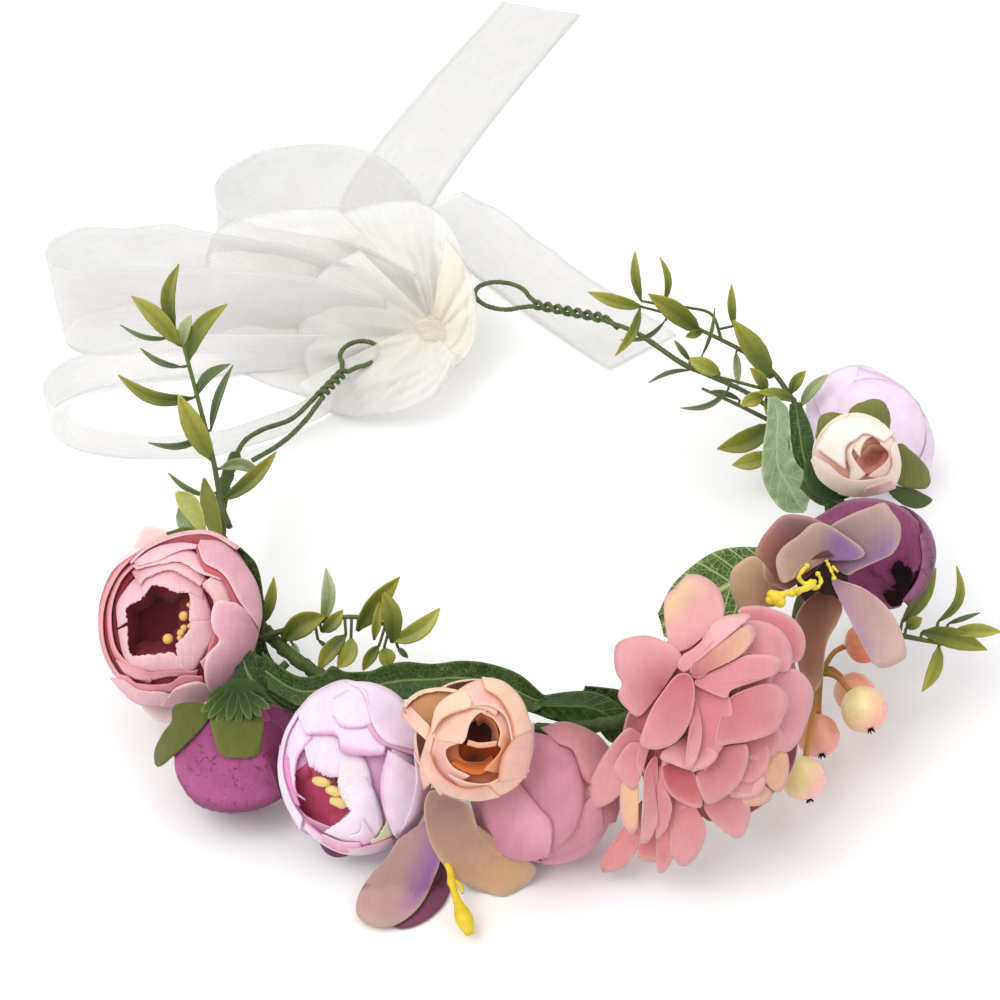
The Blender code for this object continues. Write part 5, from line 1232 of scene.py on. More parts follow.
# coral folds on the right: the petals' coral, deepened with painted shade under the rims
band(acc, D, [(206, 578), (218, 598), (224, 622), (226, 642), (214, 664)], [(202, 586), (215, 603), (212, 618), (214, 632), (206, 655)], CO, (226, 140, 146), lift=0.2, rise=0.4, jag=0.5, seed=17)
band(acc, D, [(226, 566), (240, 600), (236, 640), (222, 660), (208, 678)], [(202, 584), (214, 603), (211, 620), (219, 641), (200, 662)], PK, PE, lift=0.5, rise=0.5, seed=18, jag=0.4, edge=(236, 180, 182))
# the two broad outer petals on the right; a darker band beneath the upper one is painted shade
band(acc, D, [(256, 640), (262, 612), (257, 585), (243, 562), (222, 544), (200, 541)], [(251, 629), (233, 602), (222, 580), (205, 571), (199, 560), (196, 547)], (214, 118, 128), (206, 100, 110), lift=0.9, rise=0.5, seed=25)
band(acc, D, [(259, 632), (262, 612), (257, 585), (243, 562), (222, 543), (200, 540)], [(257, 624), (240, 602), (228, 580), (218, 570), (204, 562), (198, 546)], PK, PL_, lift=1.4, rise=0.9, seed=26, edge=(246, 206, 208), wav=0.2)
band(acc, D, [(232, 684), (248, 664), (258, 636), (257, 618)], [(213, 695), (206, 684), (204, 668), (208, 654), (219, 641), (213, 630), (211, 616), (217, 601), (236, 603)], (222, 156, 172), PL_, lift=1.3, rise=0.9, seed=27, edge=(246, 208, 210), bow=1.0, nv=12)
# bottom rows
band(acc, D, [(116, 660), (128, 676), (148, 680), (170, 676), (196, 677)], [(136, 667), (150, 672), (168, 671), (190, 671), (198, 670)], PL_, (228, 150, 156), lift=0.2, rise=0.4, jag=0.5, seed=28)
band(acc, D, [(112, 672), (134, 694), (168, 694), (190, 688), (208, 688)], [(128, 677), (139, 684), (168, 684), (182, 676), (202, 676)], PK, (230, 150, 158), lift=0.5, rise=0.6, jag=0.3, seed=29)
band(acc, D, [(110, 678), (134, 702), (160, 706), (176, 702)], [(124, 680), (140, 690), (160, 692), (170, 694)], PL_, PE, lift=0.9, rise=0.6, jag=0.3, seed=30, edge=(240, 190, 192))
band(acc, D, [(214, 698), (194, 706), (176, 708), (160, 706)], [(210, 686), (196, 682), (176, 688), (168, 698)], PK, PE, lift=1.4, rise=0.7, seed=31, edge=(246, 206, 206))
# upright petal behind, its darker inside facing us
band(acc, D, [(133, 566), (152, 552), (180, 545), (210, 546), (234, 556)], [(128, 562), (146, 547), (178, 535), (210, 533), (238, 547)], (158, 62, 76), (178, 84, 98), lift=-0.3, rise=0.8, seed=32)
band(acc, D, [(130, 561), (147, 545), (178, 533), (210, 531), (239, 546)], [(131, 564), (148, 549), (178, 537), (210, 535), (237, 550)], (232, 180, 186), (236, 186, 190), lift=0.6, rise=0.3, seed=33)
make("peony_rose_cloth", acc, "m_petal", "frame", ["peony_rose_petals_outer"], thick=0.3)
acc = Acc()
for p, r, l in (((184, 616), 1.45, -2.0), ((168, 639), 1.55, -2.2), ((181, 633), 1.15, -1.4), ((180, 638), .9, -1.2), ((184, 628), 1.0, -1.3), ((190, 626), .8, -.6), ((189, 605), .7, -1.0)):
    dot(acc, D, p, r, (232, 178, 96), l)
tube_into(acc, smooth_path([C - nn * 8, C + nn * 2], 6), 1.6, 10, col=lin(190, 150, 80))
make("peony_rose_beads", acc, "m_stamen", "frame", ["peony_rose_stamens"])
calyx_piece("peony_rose_sepals", "peony_rose", 40, "peony_rose_calyx")
# pale petals behind it
acc = Acc()
DB = Dome(V(-106, -44, 24), 1e4, 0.0)
patch(acc, DB, [(134, 552), (141, 530), (150, 526), (164, 529), (176, 536), (172, 556), (150, 566)], (156, 558), (246, 210, 198), (250, 228, 220), seed=1, rise=.8, dome=.4, nv=9)
patch(acc, Dome(V(-110, -48, 22), 1e4, 0.0), [(106, 606), (107, 584), (114, 566), (126, 554), (146, 547), (160, 556), (150, 586), (126, 606)], (146, 584), (248, 216, 208), (251, 230, 224), seed=2, rise=1.0, dome=.5)
patch(acc, Dome(V(-104, -74, 12), 1e4, 0.0), [(136, 694), (144, 710), (156, 720), (170, 723), (180, 714), (178, 698), (158, 690)], (162, 692), (246, 214, 214), (250, 230, 228), seed=3, rise=.8, dome=.4)
make("blush_cloth", acc, "m_petal_soft", "frame", ["blush_petals"], thick=0.3)

# --------------------------------------------------------- magenta bud below it
C, nn, a, bf, bb = dims("bud_magenta")
acc = Acc()
for k in range(5):
    wrap_petal(acc, C, nn, a, bf, bb, 72 * k + 10, 66, 172, 6, r=0.955 + 0.022 * (k % 3), flare=0.015, drop=16,
               col=shade(lin(150, 62, 112), lin(178, 86, 140), edge=lin(110, 30, 70), seed=k + 20), seed=k + 20, nv=20, skew=14)
ball_into(acc, C, nn, ball_prof(a * .93, bf * .93, bb * .93, m=18), 36, col=lin(112, 30, 74))
D = Dome(C + V(1.5, 0, 0.5), 20.0, 14.5)
band(acc, D, [(252, 700), (276, 706), (294, 716), (296, 760), (290, 796)], [(246, 712), (252, 740), (262, 770), (268, 800)], (104, 30, 72), (150, 66, 114), lift=0.2, rise=0.2, seed=1, nv=14)
band(acc, D, [(174, 752), (184, 730), (206, 708), (236, 702), (262, 708), (276, 730)], [(175, 764), (182, 786), (200, 806), (232, 813), (262, 808), (282, 798)], (146, 62, 112), (182, 92, 142), lift=1.3, rise=0.2, tuck=0.3, seed=2, nv=34, bow=0.4, jag=0.5, edge=(120, 44, 88), step=3)
band(acc, D, [(256, 722), (270, 720), (284, 730), (290, 760), (288, 794)], [(258, 730), (262, 750), (272, 772), (280, 796)], (96, 26, 62), (134, 54, 100), lift=1.8, rise=0.2, seed=3, nv=12)
for v in acc.v:
    v[:, 2] = np.maximum(v[:, 2], 0.15)
make("bud_magenta_cloth", acc, "m_petal_crackle", "frame", ["bud_magenta"], thick=0.3)
D = Dome(C + V(0, 0, 1), 19.5, 15.0)
def ex(acc):
    SA, SB = (86, 94, 34), (104, 110, 48)
    patch(acc, D, [(175, 706), (200, 703), (212, 712), (200, 730), (185, 745), (172, 757), (158, 767), (155, 752), (163, 734), (172, 722)], (200, 708), SA, SB, lift=1.2, rise=0.6, seed=3, dome=0.5)
    patch(acc, D, [(212, 712), (240, 706), (262, 716), (262, 740), (257, 755), (238, 758), (222, 755), (214, 738)], (238, 714), SA, SB, lift=1.6, rise=0.4, seed=4, dome=0.4, edge=(120, 124, 60))
calyx_piece("bud_magenta_sep", "bud_magenta", 46, "bud_magenta_sepals", extra=ex)

# -------------------------------------------------- lilac peony, half closed
C, nn, a, bf, bb = dims("peony_lilac")
D = Dome(C, 22.6, 16.5)
SIL = [(279, 762), (283, 735), (296, 712), (318, 692), (345, 680), (370, 682), (392, 692), (412, 716), (424, 745), (429, 775), (427, 800), (418, 822), (402, 840), (382, 848), (350, 853), (320, 842), (300, 822), (285, 795)]
OPEN = [(308, 772), (311, 767), (317, 776), (330, 780), (337, 783), (336, 795), (342, 804), (346, 808), (340, 815), (332, 818), (326, 828), (312, 826), (300, 818), (296, 808), (290, 795), (288, 778), (291, 770), (298, 776)]
acc = Acc()
band(acc, D, shrink(SIL, 0.97), shrink(OPEN, 1.3), (236, 204, 228), (222, 156, 194), lift=-1.6, rise=-1.2, closed=True, seed=1, nv=14, tuck=0.3)
band(acc, D, shrink(OPEN, 1.3), shrink(OPEN, 0.6), (196, 84, 116), (168, 52, 84), lift=-3.0, rise=-5, closed=True, seed=2, nv=8, tuck=0)
patch(acc, D, shrink(OPEN, 0.9), (314, 800), (184, 66, 98), (190, 76, 108), lift=-6.2, rise=0.4, seed=3)
make("peony_lilac_depths", acc, "m_petal_soft", "frame", ["peony_lilac_petals_inner"], thick=0.3)
acc = Acc()
back_wraps(acc, "peony_lilac", 6, ((234, 206, 228), (240, 218, 236)), seed=2, th1=70)
LI, LJ, LP, LW = (236, 212, 234), (242, 222, 240), (228, 168, 206), (246, 232, 244)
band(acc, D, [(288, 790), (280, 765), (284, 735), (300, 708)], [(306, 800), (296, 790), (297, 760), (312, 738)], LI, LJ, lift=-0.2, rise=0.4, seed=4, jag=0.4, edge=(232, 170, 208))
band(acc, D, [(284, 800), (278, 770), (280, 745)], [(300, 806), (292, 782), (288, 758)], (230, 176, 212), (226, 150, 198), lift=0.1, rise=0.3, seed=5)
band(acc, D, [(300, 830), (284, 800), (278, 768), (284, 735), (296, 712)], [(303, 818), (291, 798), (283, 768), (287, 738), (298, 716)], LJ, LW, lift=0.5, rise=0.5, seed=6, edge=LP)
band(acc, D, [(296, 712), (318, 715), (335, 730), (345, 745)], [(309, 767), (313, 768), (326, 776), (338, 778)], LJ, LI, lift=0.0, rise=0.3, seed=7, jag=1.1)
band(acc, D, [(345, 735), (366, 762), (372, 790), (366, 815)], [(338, 778), (339, 792), (344, 803), (352, 812)], (238, 218, 232), (240, 230, 232), lift=0.1, rise=0.4, seed=8, jag=0.8)
band(acc, D, [(366, 775), (378, 800), (382, 830), (362, 850)], [(344, 790), (350, 803), (348, 815), (324, 832)], LI, LW, lift=0.3, rise=0.4, seed=9, jag=0.6)
band(acc, D, [(392, 800), (398, 818), (390, 838), (372, 848)], [(384, 812), (386, 822), (378, 836), (370, 840)], (226, 222, 190), (216, 218, 176), lift=0.5, rise=0.3, seed=10, jag=0.5)
band(acc, D, [(296, 712), (315, 692), (345, 680), (372, 690), (392, 708)], [(306, 735), (336, 736), (341, 752), (362, 756), (384, 755)], LJ, LI, lift=0.6, rise=0.5, seed=11, edge=LP, jag=0.3)
band(acc, D, [(330, 700), (360, 686), (392, 696), (402, 720)], [(333, 716), (342, 727), (362, 728), (366, 722)], LI, LJ, lift=0.9, rise=0.5, seed=12, jag=0.5, edge=(232, 182, 214))
band(acc, D, [(372, 715), (400, 712), (420, 740)], [(366, 724), (378, 742), (392, 748), (424, 758)], (234, 184, 214), (226, 168, 202), lift=1.0, rise=0.3, seed=13)
band(acc, D, [(345, 682), (372, 683), (396, 694), (416, 718), (424, 742)], [(366, 690), (372, 722), (384, 740), (400, 746), (426, 752)], LJ, LI, lift=1.2, rise=0.7, seed=14, edge=(244, 226, 240))
band(acc, D, [(428, 775), (429, 800), (418, 822), (400, 842)], [(388, 750), (380, 782), (384, 812), (393, 834)], LI, LJ, lift=1.0, rise=0.7, seed=15, nv=12, bow=1.0, edge=LP)
band(acc, D, [(424, 748), (431, 775), (428, 802), (418, 824), (404, 842)], [(414, 753), (416, 780), (411, 805), (402, 828), (396, 838)], (228, 170, 206), LJ, lift=1.5, rise=0.6, seed=16)
band(acc, D, [(398, 846), (372, 854), (345, 854), (322, 844), (304, 828)], [(392, 838), (366, 846), (344, 846), (324, 836), (306, 822)], LJ, (240, 196, 220), lift=0.9, rise=0.6, seed=17, edge=(232, 150, 180))
band(acc, D, [(362, 850), (342, 852), (322, 842)], [(360, 843), (342, 842), (322, 834)], (232, 150, 176), (242, 200, 220), lift=1.4, rise=0.5, seed=18)
band(acc, D, [(376, 838), (364, 846), (350, 842)], [(362, 818), (360, 832), (350, 836)], (234, 176, 214), LW, lift=0.7, rise=0.4, seed=19)
make("peony_lilac_cloth", acc, "m_petal_soft", "frame", ["peony_lilac_petals_outer"], thick=0.3)
acc = Acc()
for (x0, y0), (x1, y1), l in (((317, 781), (328, 783), -0.6), ((330, 790), (338, 793), -0.3), ((334, 801), (343, 805), 0.0)):
    P = smooth_path([D.P((x0 - 3, y0 - 1), l), D.P(((x0 + x1) / 2, y0 + 1), l + .6), D.P((x1, y1), l), D.P((x1 + 8, y1 - 2), l - 3)], 16)
    tube_into(acc, P, lambda s: 1.0 * math.sin(math.pi * min(1, s * 1.25 + .12)) ** .6 + .35, 10, col=lin(228, 196, 124))
tube_into(acc, smooth_path([C - nn * 8, C + nn * 4, D.P((340, 797), -3)], 8), 1.2, 8, col=lin(190, 150, 80))
make("peony_lilac_stamen", acc, "m_stamen", "frame", ["peony_lilac_stamens"])
def ex(acc):
    patch(acc, D, [(318, 838), (330, 848), (350, 853), (338, 857), (326, 852)], (335, 848), (112, 56, 92), (96, 44, 80), lift=-0.5, rise=0.2, seed=6)
calyx_piece("peony_lilac_sepals", "peony_lilac", 40, "peony_lilac_calyx", extra=ex)

# ------------------------------------------------------------ peach rose
C, nn, a, bf, bb = dims("rose_peach")
D = Dome(C, 18.6, 10.5)
SIL = [(424, 765), (430, 728), (446, 700), (470, 684), (492, 678), (512, 688), (526, 708), (533, 735), (530, 765), (518, 784), (500, 795), (476, 799), (452, 794), (434, 783)]
# the heart's two cavities and the underlay darken inwards: orange-brown of the inner petals, deepened with painted
# shade
H1 = [(467, 740), (470, 728), (474, 718), (482, 715), (492, 722), (498, 732), (498, 740), (486, 742)]
H2 = [(450, 764), (456, 752), (468, 746), (482, 748), (498, 750), (492, 762), (480, 772), (466, 770)]
acc = Acc()
patch(acc, D, shrink(H1 + [], 1.25), (483, 732), (54, 12, 4), (80, 26, 10), lift=-5.5, rise=0.2, seed=1)
patch(acc, D, shrink(H2, 1.2), (474, 758), (74, 20, 4), (190, 84, 24), lift=-4.5, rise=0.8, seed=2)
band(acc, D, shrink(SIL, .95), shrink(SIL, .40), (228, 162, 128), (196, 112, 70), lift=-1.6, rise=-1.5, closed=True, seed=3)
band(acc, D, [(474, 716), (484, 713), (496, 724), (500, 740)], [(478, 726), (484, 722), (492, 730), (492, 742)], (214, 120, 62), (120, 44, 16), lift=-1.0, rise=-3.5, seed=4, tuck=0)
band(acc, D, [(450, 764), (466, 773), (482, 774), (496, 762)], [(458, 758), (468, 762), (482, 762), (492, 756)], (222, 124, 60), (176, 70, 20), lift=-0.8, rise=-3.5, seed=5, tuck=0)
make("rose_peach_depths", acc, "m_petal_soft", "frame", ["rose_peach_heart"], thick=0.3)
acc = Acc()
back_wraps(acc, "rose_peach", 6, ((232, 186, 162), (240, 200, 178)), seed=3, th1=72, r=0.86)
PA, PB, PC, PO = (238, 190, 168), (232, 178, 170), (242, 202, 174), (226, 150, 112)
band(acc, D, [(404, 708), (414, 697), (424, 692), (440, 690), (458, 695)], [(404, 712), (418, 722), (428, 728), (434, 724), (440, 706)], (196, 148, 100), (176, 122, 78), lift=-2.6, rise=0.3, seed=6, tuck=0.2)
band(acc, D, [(402, 706), (412, 696), (424, 690), (444, 688), (464, 692)], [(405, 708), (414, 699), (426, 693), (444, 691), (464, 695)], PC, PC, lift=-1.2, rise=0.5, seed=7, jag=0.4)
band(acc, D, [(400, 716), (404, 707), (410, 706)], [(428, 742), (431, 734), (431, 727)], PB, PC, lift=-1.8, rise=0.6, seed=8, edge=PO)
band(acc, D, [(424, 790), (420, 765), (428, 735)], [(436, 778), (430, 762), (434, 738)], PB, PC, lift=-0.4, rise=0.4, seed=9, edge=PO)
band(acc, D, [(440, 796), (430, 778), (424, 750), (432, 728)], [(470, 776), (452, 766), (446, 750), (462, 742)], PA, PB, lift=0.0, rise=0.5, seed=10, nv=12, edge=PC)
band(acc, D, [(430, 740), (434, 715), (448, 700), (470, 696), (490, 702)], [(462, 744), (466, 738), (470, 724), (478, 714), (486, 712)], PC, PA, lift=0.2, rise=0.7, seed=11, nv=12, edge=(244, 206, 182))
band(acc, D, [(432, 730), (436, 708), (452, 694), (476, 688)], [(432, 735), (442, 720), (456, 713), (470, 709)], PC, (242, 206, 180), lift=0.9, rise=0.7, seed=12, edge=PO)
band(acc, D, [(448, 698), (468, 684), (490, 678), (508, 684)], [(455, 712), (472, 708), (486, 710), (496, 716)], PB, PA, lift=0.6, rise=0.6, seed=13, edge=PC)
band(acc, D, [(486, 702), (508, 712), (516, 735), (512, 760)], [(482, 713), (494, 720), (500, 732), (498, 745)], PA, (236, 176, 150), lift=0.2, rise=0.5, seed=14, edge=(240, 196, 168))
band(acc, D, [(510, 730), (510, 752), (500, 774)], [(501, 738), (500, 752), (484, 770)], PO, (232, 160, 120), lift=0.5, rise=0.4, seed=15)
band(acc, D, [(466, 692), (492, 682), (514, 700), (526, 730)], [(474, 706), (490, 706), (506, 718), (512, 742)], PA, PB, lift=1.0, rise=0.7, seed=16, edge=(244, 210, 190), nv=10)
band(acc, D, [(482, 677), (504, 682), (522, 700), (533, 730)], [(486, 690), (500, 700), (511, 720), (514, 738)], PC, PC, lift=1.5, rise=0.8, seed=17, edge=PO)
band(acc, D, [(534, 722), (533, 750), (526, 778)], [(514, 738), (502, 758), (498, 782)], PB, PA, lift=1.3, rise=0.7, seed=18, edge=PO)
band(acc, D, [(530, 770), (514, 788), (494, 797), (470, 800)], [(500, 778), (486, 784), (466, 782), (448, 774)], PC, PA, lift=0.8, rise=0.7, seed=19, edge=(244, 206, 182))
band(acc, D, [(500, 797), (476, 801), (450, 796), (430, 782), (422, 760)], [(488, 786), (466, 789), (448, 781), (436, 768), (430, 752)], PC, PB, lift=1.3, rise=0.7, seed=20, edge=PO)
band(acc, D, [(468, 740), (480, 743), (498, 741)], [(467, 745), (480, 748), (496, 746)], PC, PO, lift=0.3, rise=0.5, seed=21)
make("rose_peach_cloth", acc, "m_petal_soft", "frame", ["rose_peach_petals"], thick=0.3)
calyx_piece("rose_peach_sepals", "rose_peach", 40, "rose_peach_calyx")

# ---------------------------------------------------------------- mauve bud
C, nn, a, bf, bb = dims("bud_mauve")
acc = Acc()
D = Dome(C, 19.5, 15.0)
ball_into(acc, C, nn, ball_prof(a * .94, bf * .94, bb * .94, m=20), 44, col=lin(196, 120, 138))
for k in range(5):
    wrap_petal(acc, C, nn, a, bf, bb, 72 * k + 34, 62, 172, 8, r=0.96 + 0.02 * (k % 3), flare=0.02, drop=18,
               col=shade(lin(208, 138, 156), lin(214, 148, 166), edge=lin(190, 110, 128), seed=k + 30), seed=k + 30, nv=20, skew=10)
M1, M2 = (214, 146, 162), (208, 136, 152)
for v in acc.v:
    v[:, 2] = np.maximum(v[:, 2], 0.15)
D = Dome(C + V(2, 0, 1), 22.5, 16.0)
band(acc, D, [(560, 724), (590, 734), (612, 752), (622, 790), (616, 822)], [(556, 752), (572, 772), (580, 796), (578, 820), (566, 836)], (196, 128, 136), (216, 150, 160), lift=-0.6, rise=0.2, seed=4, nv=14, tuck=1.5)
band(acc, D, [(604, 828), (584, 846), (556, 856), (528, 860)], [(600, 790), (575, 810), (556, 822), (540, 838)], (206, 140, 154), (218, 152, 164), lift=0.0, rise=0.2, seed=5, nv=14, tuck=1.2)
band(acc, D, [(486, 744), (492, 790), (520, 840), (556, 850)], [(520, 730), (556, 738), (574, 752), (582, 775), (584, 802), (576, 830)], (206, 144, 162), (204, 140, 158), lift=0.6, rise=0.4, seed=6, nv=22, edge=(188, 110, 126), tuck=1.0, bow=0.6)
band(acc, D, [(468, 790), (478, 826), (490, 848), (508, 858), (530, 861), (548, 856)], [(500, 762), (520, 784), (538, 806), (551, 821), (552, 838), (549, 852)], (200, 132, 152), (224, 162, 180), lift=1.3, rise=0.5, seed=3, nv=20, edge=(206, 132, 150), tuck=1.0, bow=1.2)
band(acc, D, [(540, 728), (566, 722), (596, 734), (614, 754)], [(560, 745), (573, 752), (582, 776), (590, 786)], (180, 112, 118), (218, 156, 162), lift=1.2, rise=0.5, seed=7, nv=14, edge=(178, 96, 108))
make("bud_mauve_cloth", acc, "m_petal_weave", "frame", ["bud_mauve"], thick=0.3)
calyx_piece("bud_mauve_sep", "bud_mauve", 42, "bud_mauve_sepals")

# ------------------------------------------------------- big dusty bloom
C, nn, a, bf, bb = dims("hydrangea")
D = Dome(C, 31.0, 15.5, fall=0.9, gy=0.10)
# the last of these colours, a darker rose, is painted shade for the folds between petals
DU, DV, DE, DD = (192, 106, 114), (216, 146, 150), (228, 168, 168), (176, 86, 90)
acc = Acc()
for k in range(7):     # back rows
    wrap_petal(acc, C, nn, a * .86, bf, bb, 360 / 7 * k, 34, 168, 100, r=0.94, flare=0.0, drop=14, col=shade(lin(212, 138, 144), lin(226, 160, 164), seed=k + 50), seed=k + 50)
O_ = [((662, 617), [(664, 602), (675, 588), (688, 575), (704, 577), (718, 588), (724, 605), (722, 620), (708, 632), (690, 645), (678, 652), (668, 640)], (690, 648), -1.0, (222, 158, 160), (222, 170, 160)),
      ((0, 0), [(614, 655), (618, 643), (632, 637), (648, 636), (664, 641), (678, 650), (680, 662), (660, 690), (640, 716), (626, 708), (618, 696), (622, 684), (616, 672)], (662, 690), -1.0, DU, (230, 168, 176)),
      ((0, 0), [(738, 612), (755, 606), (775, 610), (792, 618), (803, 632), (805, 648), (798, 662), (780, 660), (760, 640)], (752, 650), -1.4, (196, 112, 116), (204, 122, 128)),
      ((0, 0), [(770, 676), (782, 668), (800, 672), (812, 688), (812, 706), (806, 724), (798, 742), (786, 752), (770, 740)], (745, 700), -1.0, (206, 130, 142), (214, 150, 162)),
      ((0, 0), [(586, 806), (588, 788), (598, 766), (612, 744), (628, 728), (638, 736), (636, 760), (628, 784), (614, 800), (598, 808)], (650, 740), 0.2, DU, (234, 172, 172)),
      ((0, 0), [(603, 872), (602, 860), (612, 845), (624, 832), (634, 826), (640, 836), (636, 852), (622, 868)], (642, 800), -1.2, (222, 140, 138), (226, 146, 146)),
      ((0, 0), [(638, 858), (640, 846), (650, 832), (662, 828), (670, 842), (668, 860), (652, 862)], (660, 790), -1.6, DD, (214, 124, 122)),
      ((0, 0), [(658, 872), (656, 850), (658, 832), (668, 826), (676, 846), (668, 868)], (664, 790), -1.1, (216, 130, 126), (222, 144, 140)),
      ((0, 0), [(672, 855), (670, 838), (672, 815), (690, 808), (705, 824), (704, 842), (694, 860), (682, 866)], (680, 780), -0.8, (208, 120, 120), (230, 158, 158)),
      ((0, 0), [(704, 806), (716, 798), (735, 796), (748, 802), (750, 818), (744, 834), (736, 838), (722, 830), (710, 818)], (710, 770), -1.4, (210, 124, 126), (220, 148, 152)),
      ((0, 0), [(740, 790), (756, 794), (772, 790), (768, 802), (756, 806), (744, 804)], (740, 770), -1.3, (216, 170, 140), (222, 180, 150)),
      ((0, 0), [(762, 762), (766, 748), (778, 742), (788, 756), (788, 776), (780, 792), (768, 786), (764, 774)], (752, 750), -0.9, (216, 160, 136), (222, 180, 140)),
      ((0, 0), [(728, 782), (738, 780), (758, 776), (766, 780), (760, 794), (744, 798), (730, 796)], (735, 765), -1.0, (220, 156, 160), (226, 170, 172)),
      ((0, 0), [(738, 778), (742, 760), (752, 742), (764, 740), (770, 756), (764, 772), (752, 782)], (735, 745), -0.6, (206, 128, 132), (212, 140, 142))]
for k, (_, ol, bs, l, c0, c1) in enumerate(O_):
    patch(acc, D, ol, bs, c0, c1, lift=l, rise=0.9, seed=k + 3, edge=DE, wav=0.55, tuck=1.6, dome=0.3, step=2.2, nv=10, sidec=((222, 198, 140), (-0.9, -0.7)) if k == 0 else None)
make("bloom_outer_cloth", acc, "m_petal_weave", "frame", ["hydrangea_petals_outer"], thick=0.3)
acc = Acc()
# underlay that darkens towards the centre: painted shade seen in the gaps between petals
band(acc, D, shrink([(640, 700), (660, 650), (700, 625), (750, 615), (790, 650), (795, 710), (770, 765), (710, 790), (660, 790), (640, 750)], 1.0),
     shrink([(640, 700), (660, 650), (700, 625), (750, 615), (790, 650), (795, 710), (770, 765), (710, 790), (660, 790), (640, 750)], .25), (196, 110, 114), (176, 90, 94), lift=-2.6, rise=-1.0, closed=True, seed=2)
M_ = [([(746, 622), (764, 622), (780, 630), (790, 644), (792, 660), (786, 672), (766, 668), (748, 655), (742, 640)], (748, 665), 0.2, (208, 134, 140), (214, 146, 154)),
      ([(614, 768), (622, 752), (632, 742), (638, 748), (636, 764), (640, 778), (632, 790), (622, 780)], (650, 745), 0.6, (206, 130, 136), (222, 150, 152)),
      ([(620, 800), (622, 780), (630, 760), (640, 768), (638, 785), (634, 806), (638, 826), (630, 834), (622, 820)], (638, 760), 0.9, (232, 186, 150), (236, 190, 150)),
      ([(640, 840), (644, 818), (643, 795), (646, 770), (656, 756), (658, 775), (654, 800), (658, 822), (648, 842)], (652, 760), 1.2, DU, DE),
      ([(656, 838), (658, 812), (656, 790), (664, 796), (672, 806), (668, 826), (662, 834)], (660, 765), 0.9, (218, 136, 136), DV),
      ([(662, 762), (676, 758), (692, 770), (700, 786), (702, 806), (690, 806), (672, 796), (664, 782)], (672, 755), 0.7, (170, 70, 74), (204, 116, 120)),
      ([(696, 776), (706, 770), (730, 752), (746, 744), (748, 760), (740, 782), (726, 796), (708, 804), (700, 792)], (712, 748), 1.1, DU, DV)]
for k, (ol, bs, l, c0, c1) in enumerate(M_):
    patch(acc, D, ol, bs, c0, c1, lift=l, rise=0.9, seed=k + 23, edge=DE, wav=0.55, tuck=1.6, dome=0.3, step=2.2, nv=10)
for k in range(11):
    an = 2 * math.pi * k / 11 + 0.2
    if math.cos(an) < -0.25 and math.sin(an) > -0.55:
        continue
    rr_ = 78 + 6 * math.sin(3 * k)
    cx, cy = 712, 716
    ux, uy = math.cos(an), -math.sin(an)
    ol = []
    for q in range(12):
        b2 = 2 * math.pi * q / 12
        ol.append((cx + ux * (rr_ * 0.56 + 34 * math.cos(b2)) - uy * 25 * math.sin(b2), cy + uy * (rr_ * 0.60 + 34 * math.cos(b2)) * 1.08 + ux * 25 * math.sin(b2)))
    patch(acc, D, ol, (cx + ux * 14, cy + uy * 14), (172, 88, 94), (208, 136, 140), lift=-1.1 + 0.25 * (k % 3), rise=0.6, seed=k + 80, edge=DE, wav=0.3, tuck=1.2, dome=0.6, step=3)
make("bloom_mid_cloth", acc, "m_petal_weave", "frame", ["hydrangea_petals_mid"], thick=0.3)
acc = Acc()
H_ = [([(688, 680), (700, 686), (722, 688), (732, 706), (730, 724), (722, 748), (706, 766), (690, 770), (694, 740), (690, 710)], (700, 690), 1.6, (206, 122, 132), (212, 134, 142)),
      ([(716, 745), (720, 720), (728, 700), (750, 688), (770, 684), (784, 694), (784, 714), (774, 732), (750, 741), (730, 744)], (725, 705), 2.4, DU, DV),
      ([(726, 698), (732, 690), (760, 680), (776, 674), (782, 662), (772, 656), (750, 655), (736, 660), (712, 672), (694, 682), (705, 690)], (700, 684), 3.0, (216, 136, 144), DV),
      ([(690, 672), (698, 656), (712, 644), (730, 636), (744, 626), (752, 626), (756, 634), (748, 648), (736, 658), (712, 670), (700, 678)], (694, 678), 3.4, DU, (228, 186, 150)),
      ([(678, 668), (682, 656), (694, 648), (706, 636), (712, 624), (726, 616), (748, 614), (750, 618), (736, 622), (722, 630), (712, 642), (698, 654), (690, 668)], (684, 672), 3.9, DV, (240, 190, 190)),
      ([(668, 748), (690, 752), (710, 750), (718, 756), (706, 768), (690, 770), (672, 764), (660, 758)], (690, 735), 2.2, DU, DE),
      ([(686, 768), (688, 745), (694, 720), (692, 694), (698, 708), (702, 732), (698, 756), (692, 768)], (692, 700), 3.2, DU, DE),
      ([(640, 742), (644, 728), (652, 708), (664, 690), (676, 676), (688, 674), (694, 684), (694, 704), (688, 726), (676, 742), (660, 749), (646, 748)], (684, 680), 3.6, DU, DV)]
for k, (ol, bs, l, c0, c1) in enumerate(H_):
    patch(acc, D, ol, bs, c0, c1, lift=l, rise=1.0, seed=k + 43, edge=DE, wav=0.6, tuck=2.0, dome=0.35, step=2.2, nv=10)
make("bloom_heart_cloth", acc, "m_petal_weave", "frame", ["hydrangea_heart"], thick=0.3)
calyx_piece("bloom_sepals", "hydrangea", 34, "hydrangea_calyx")

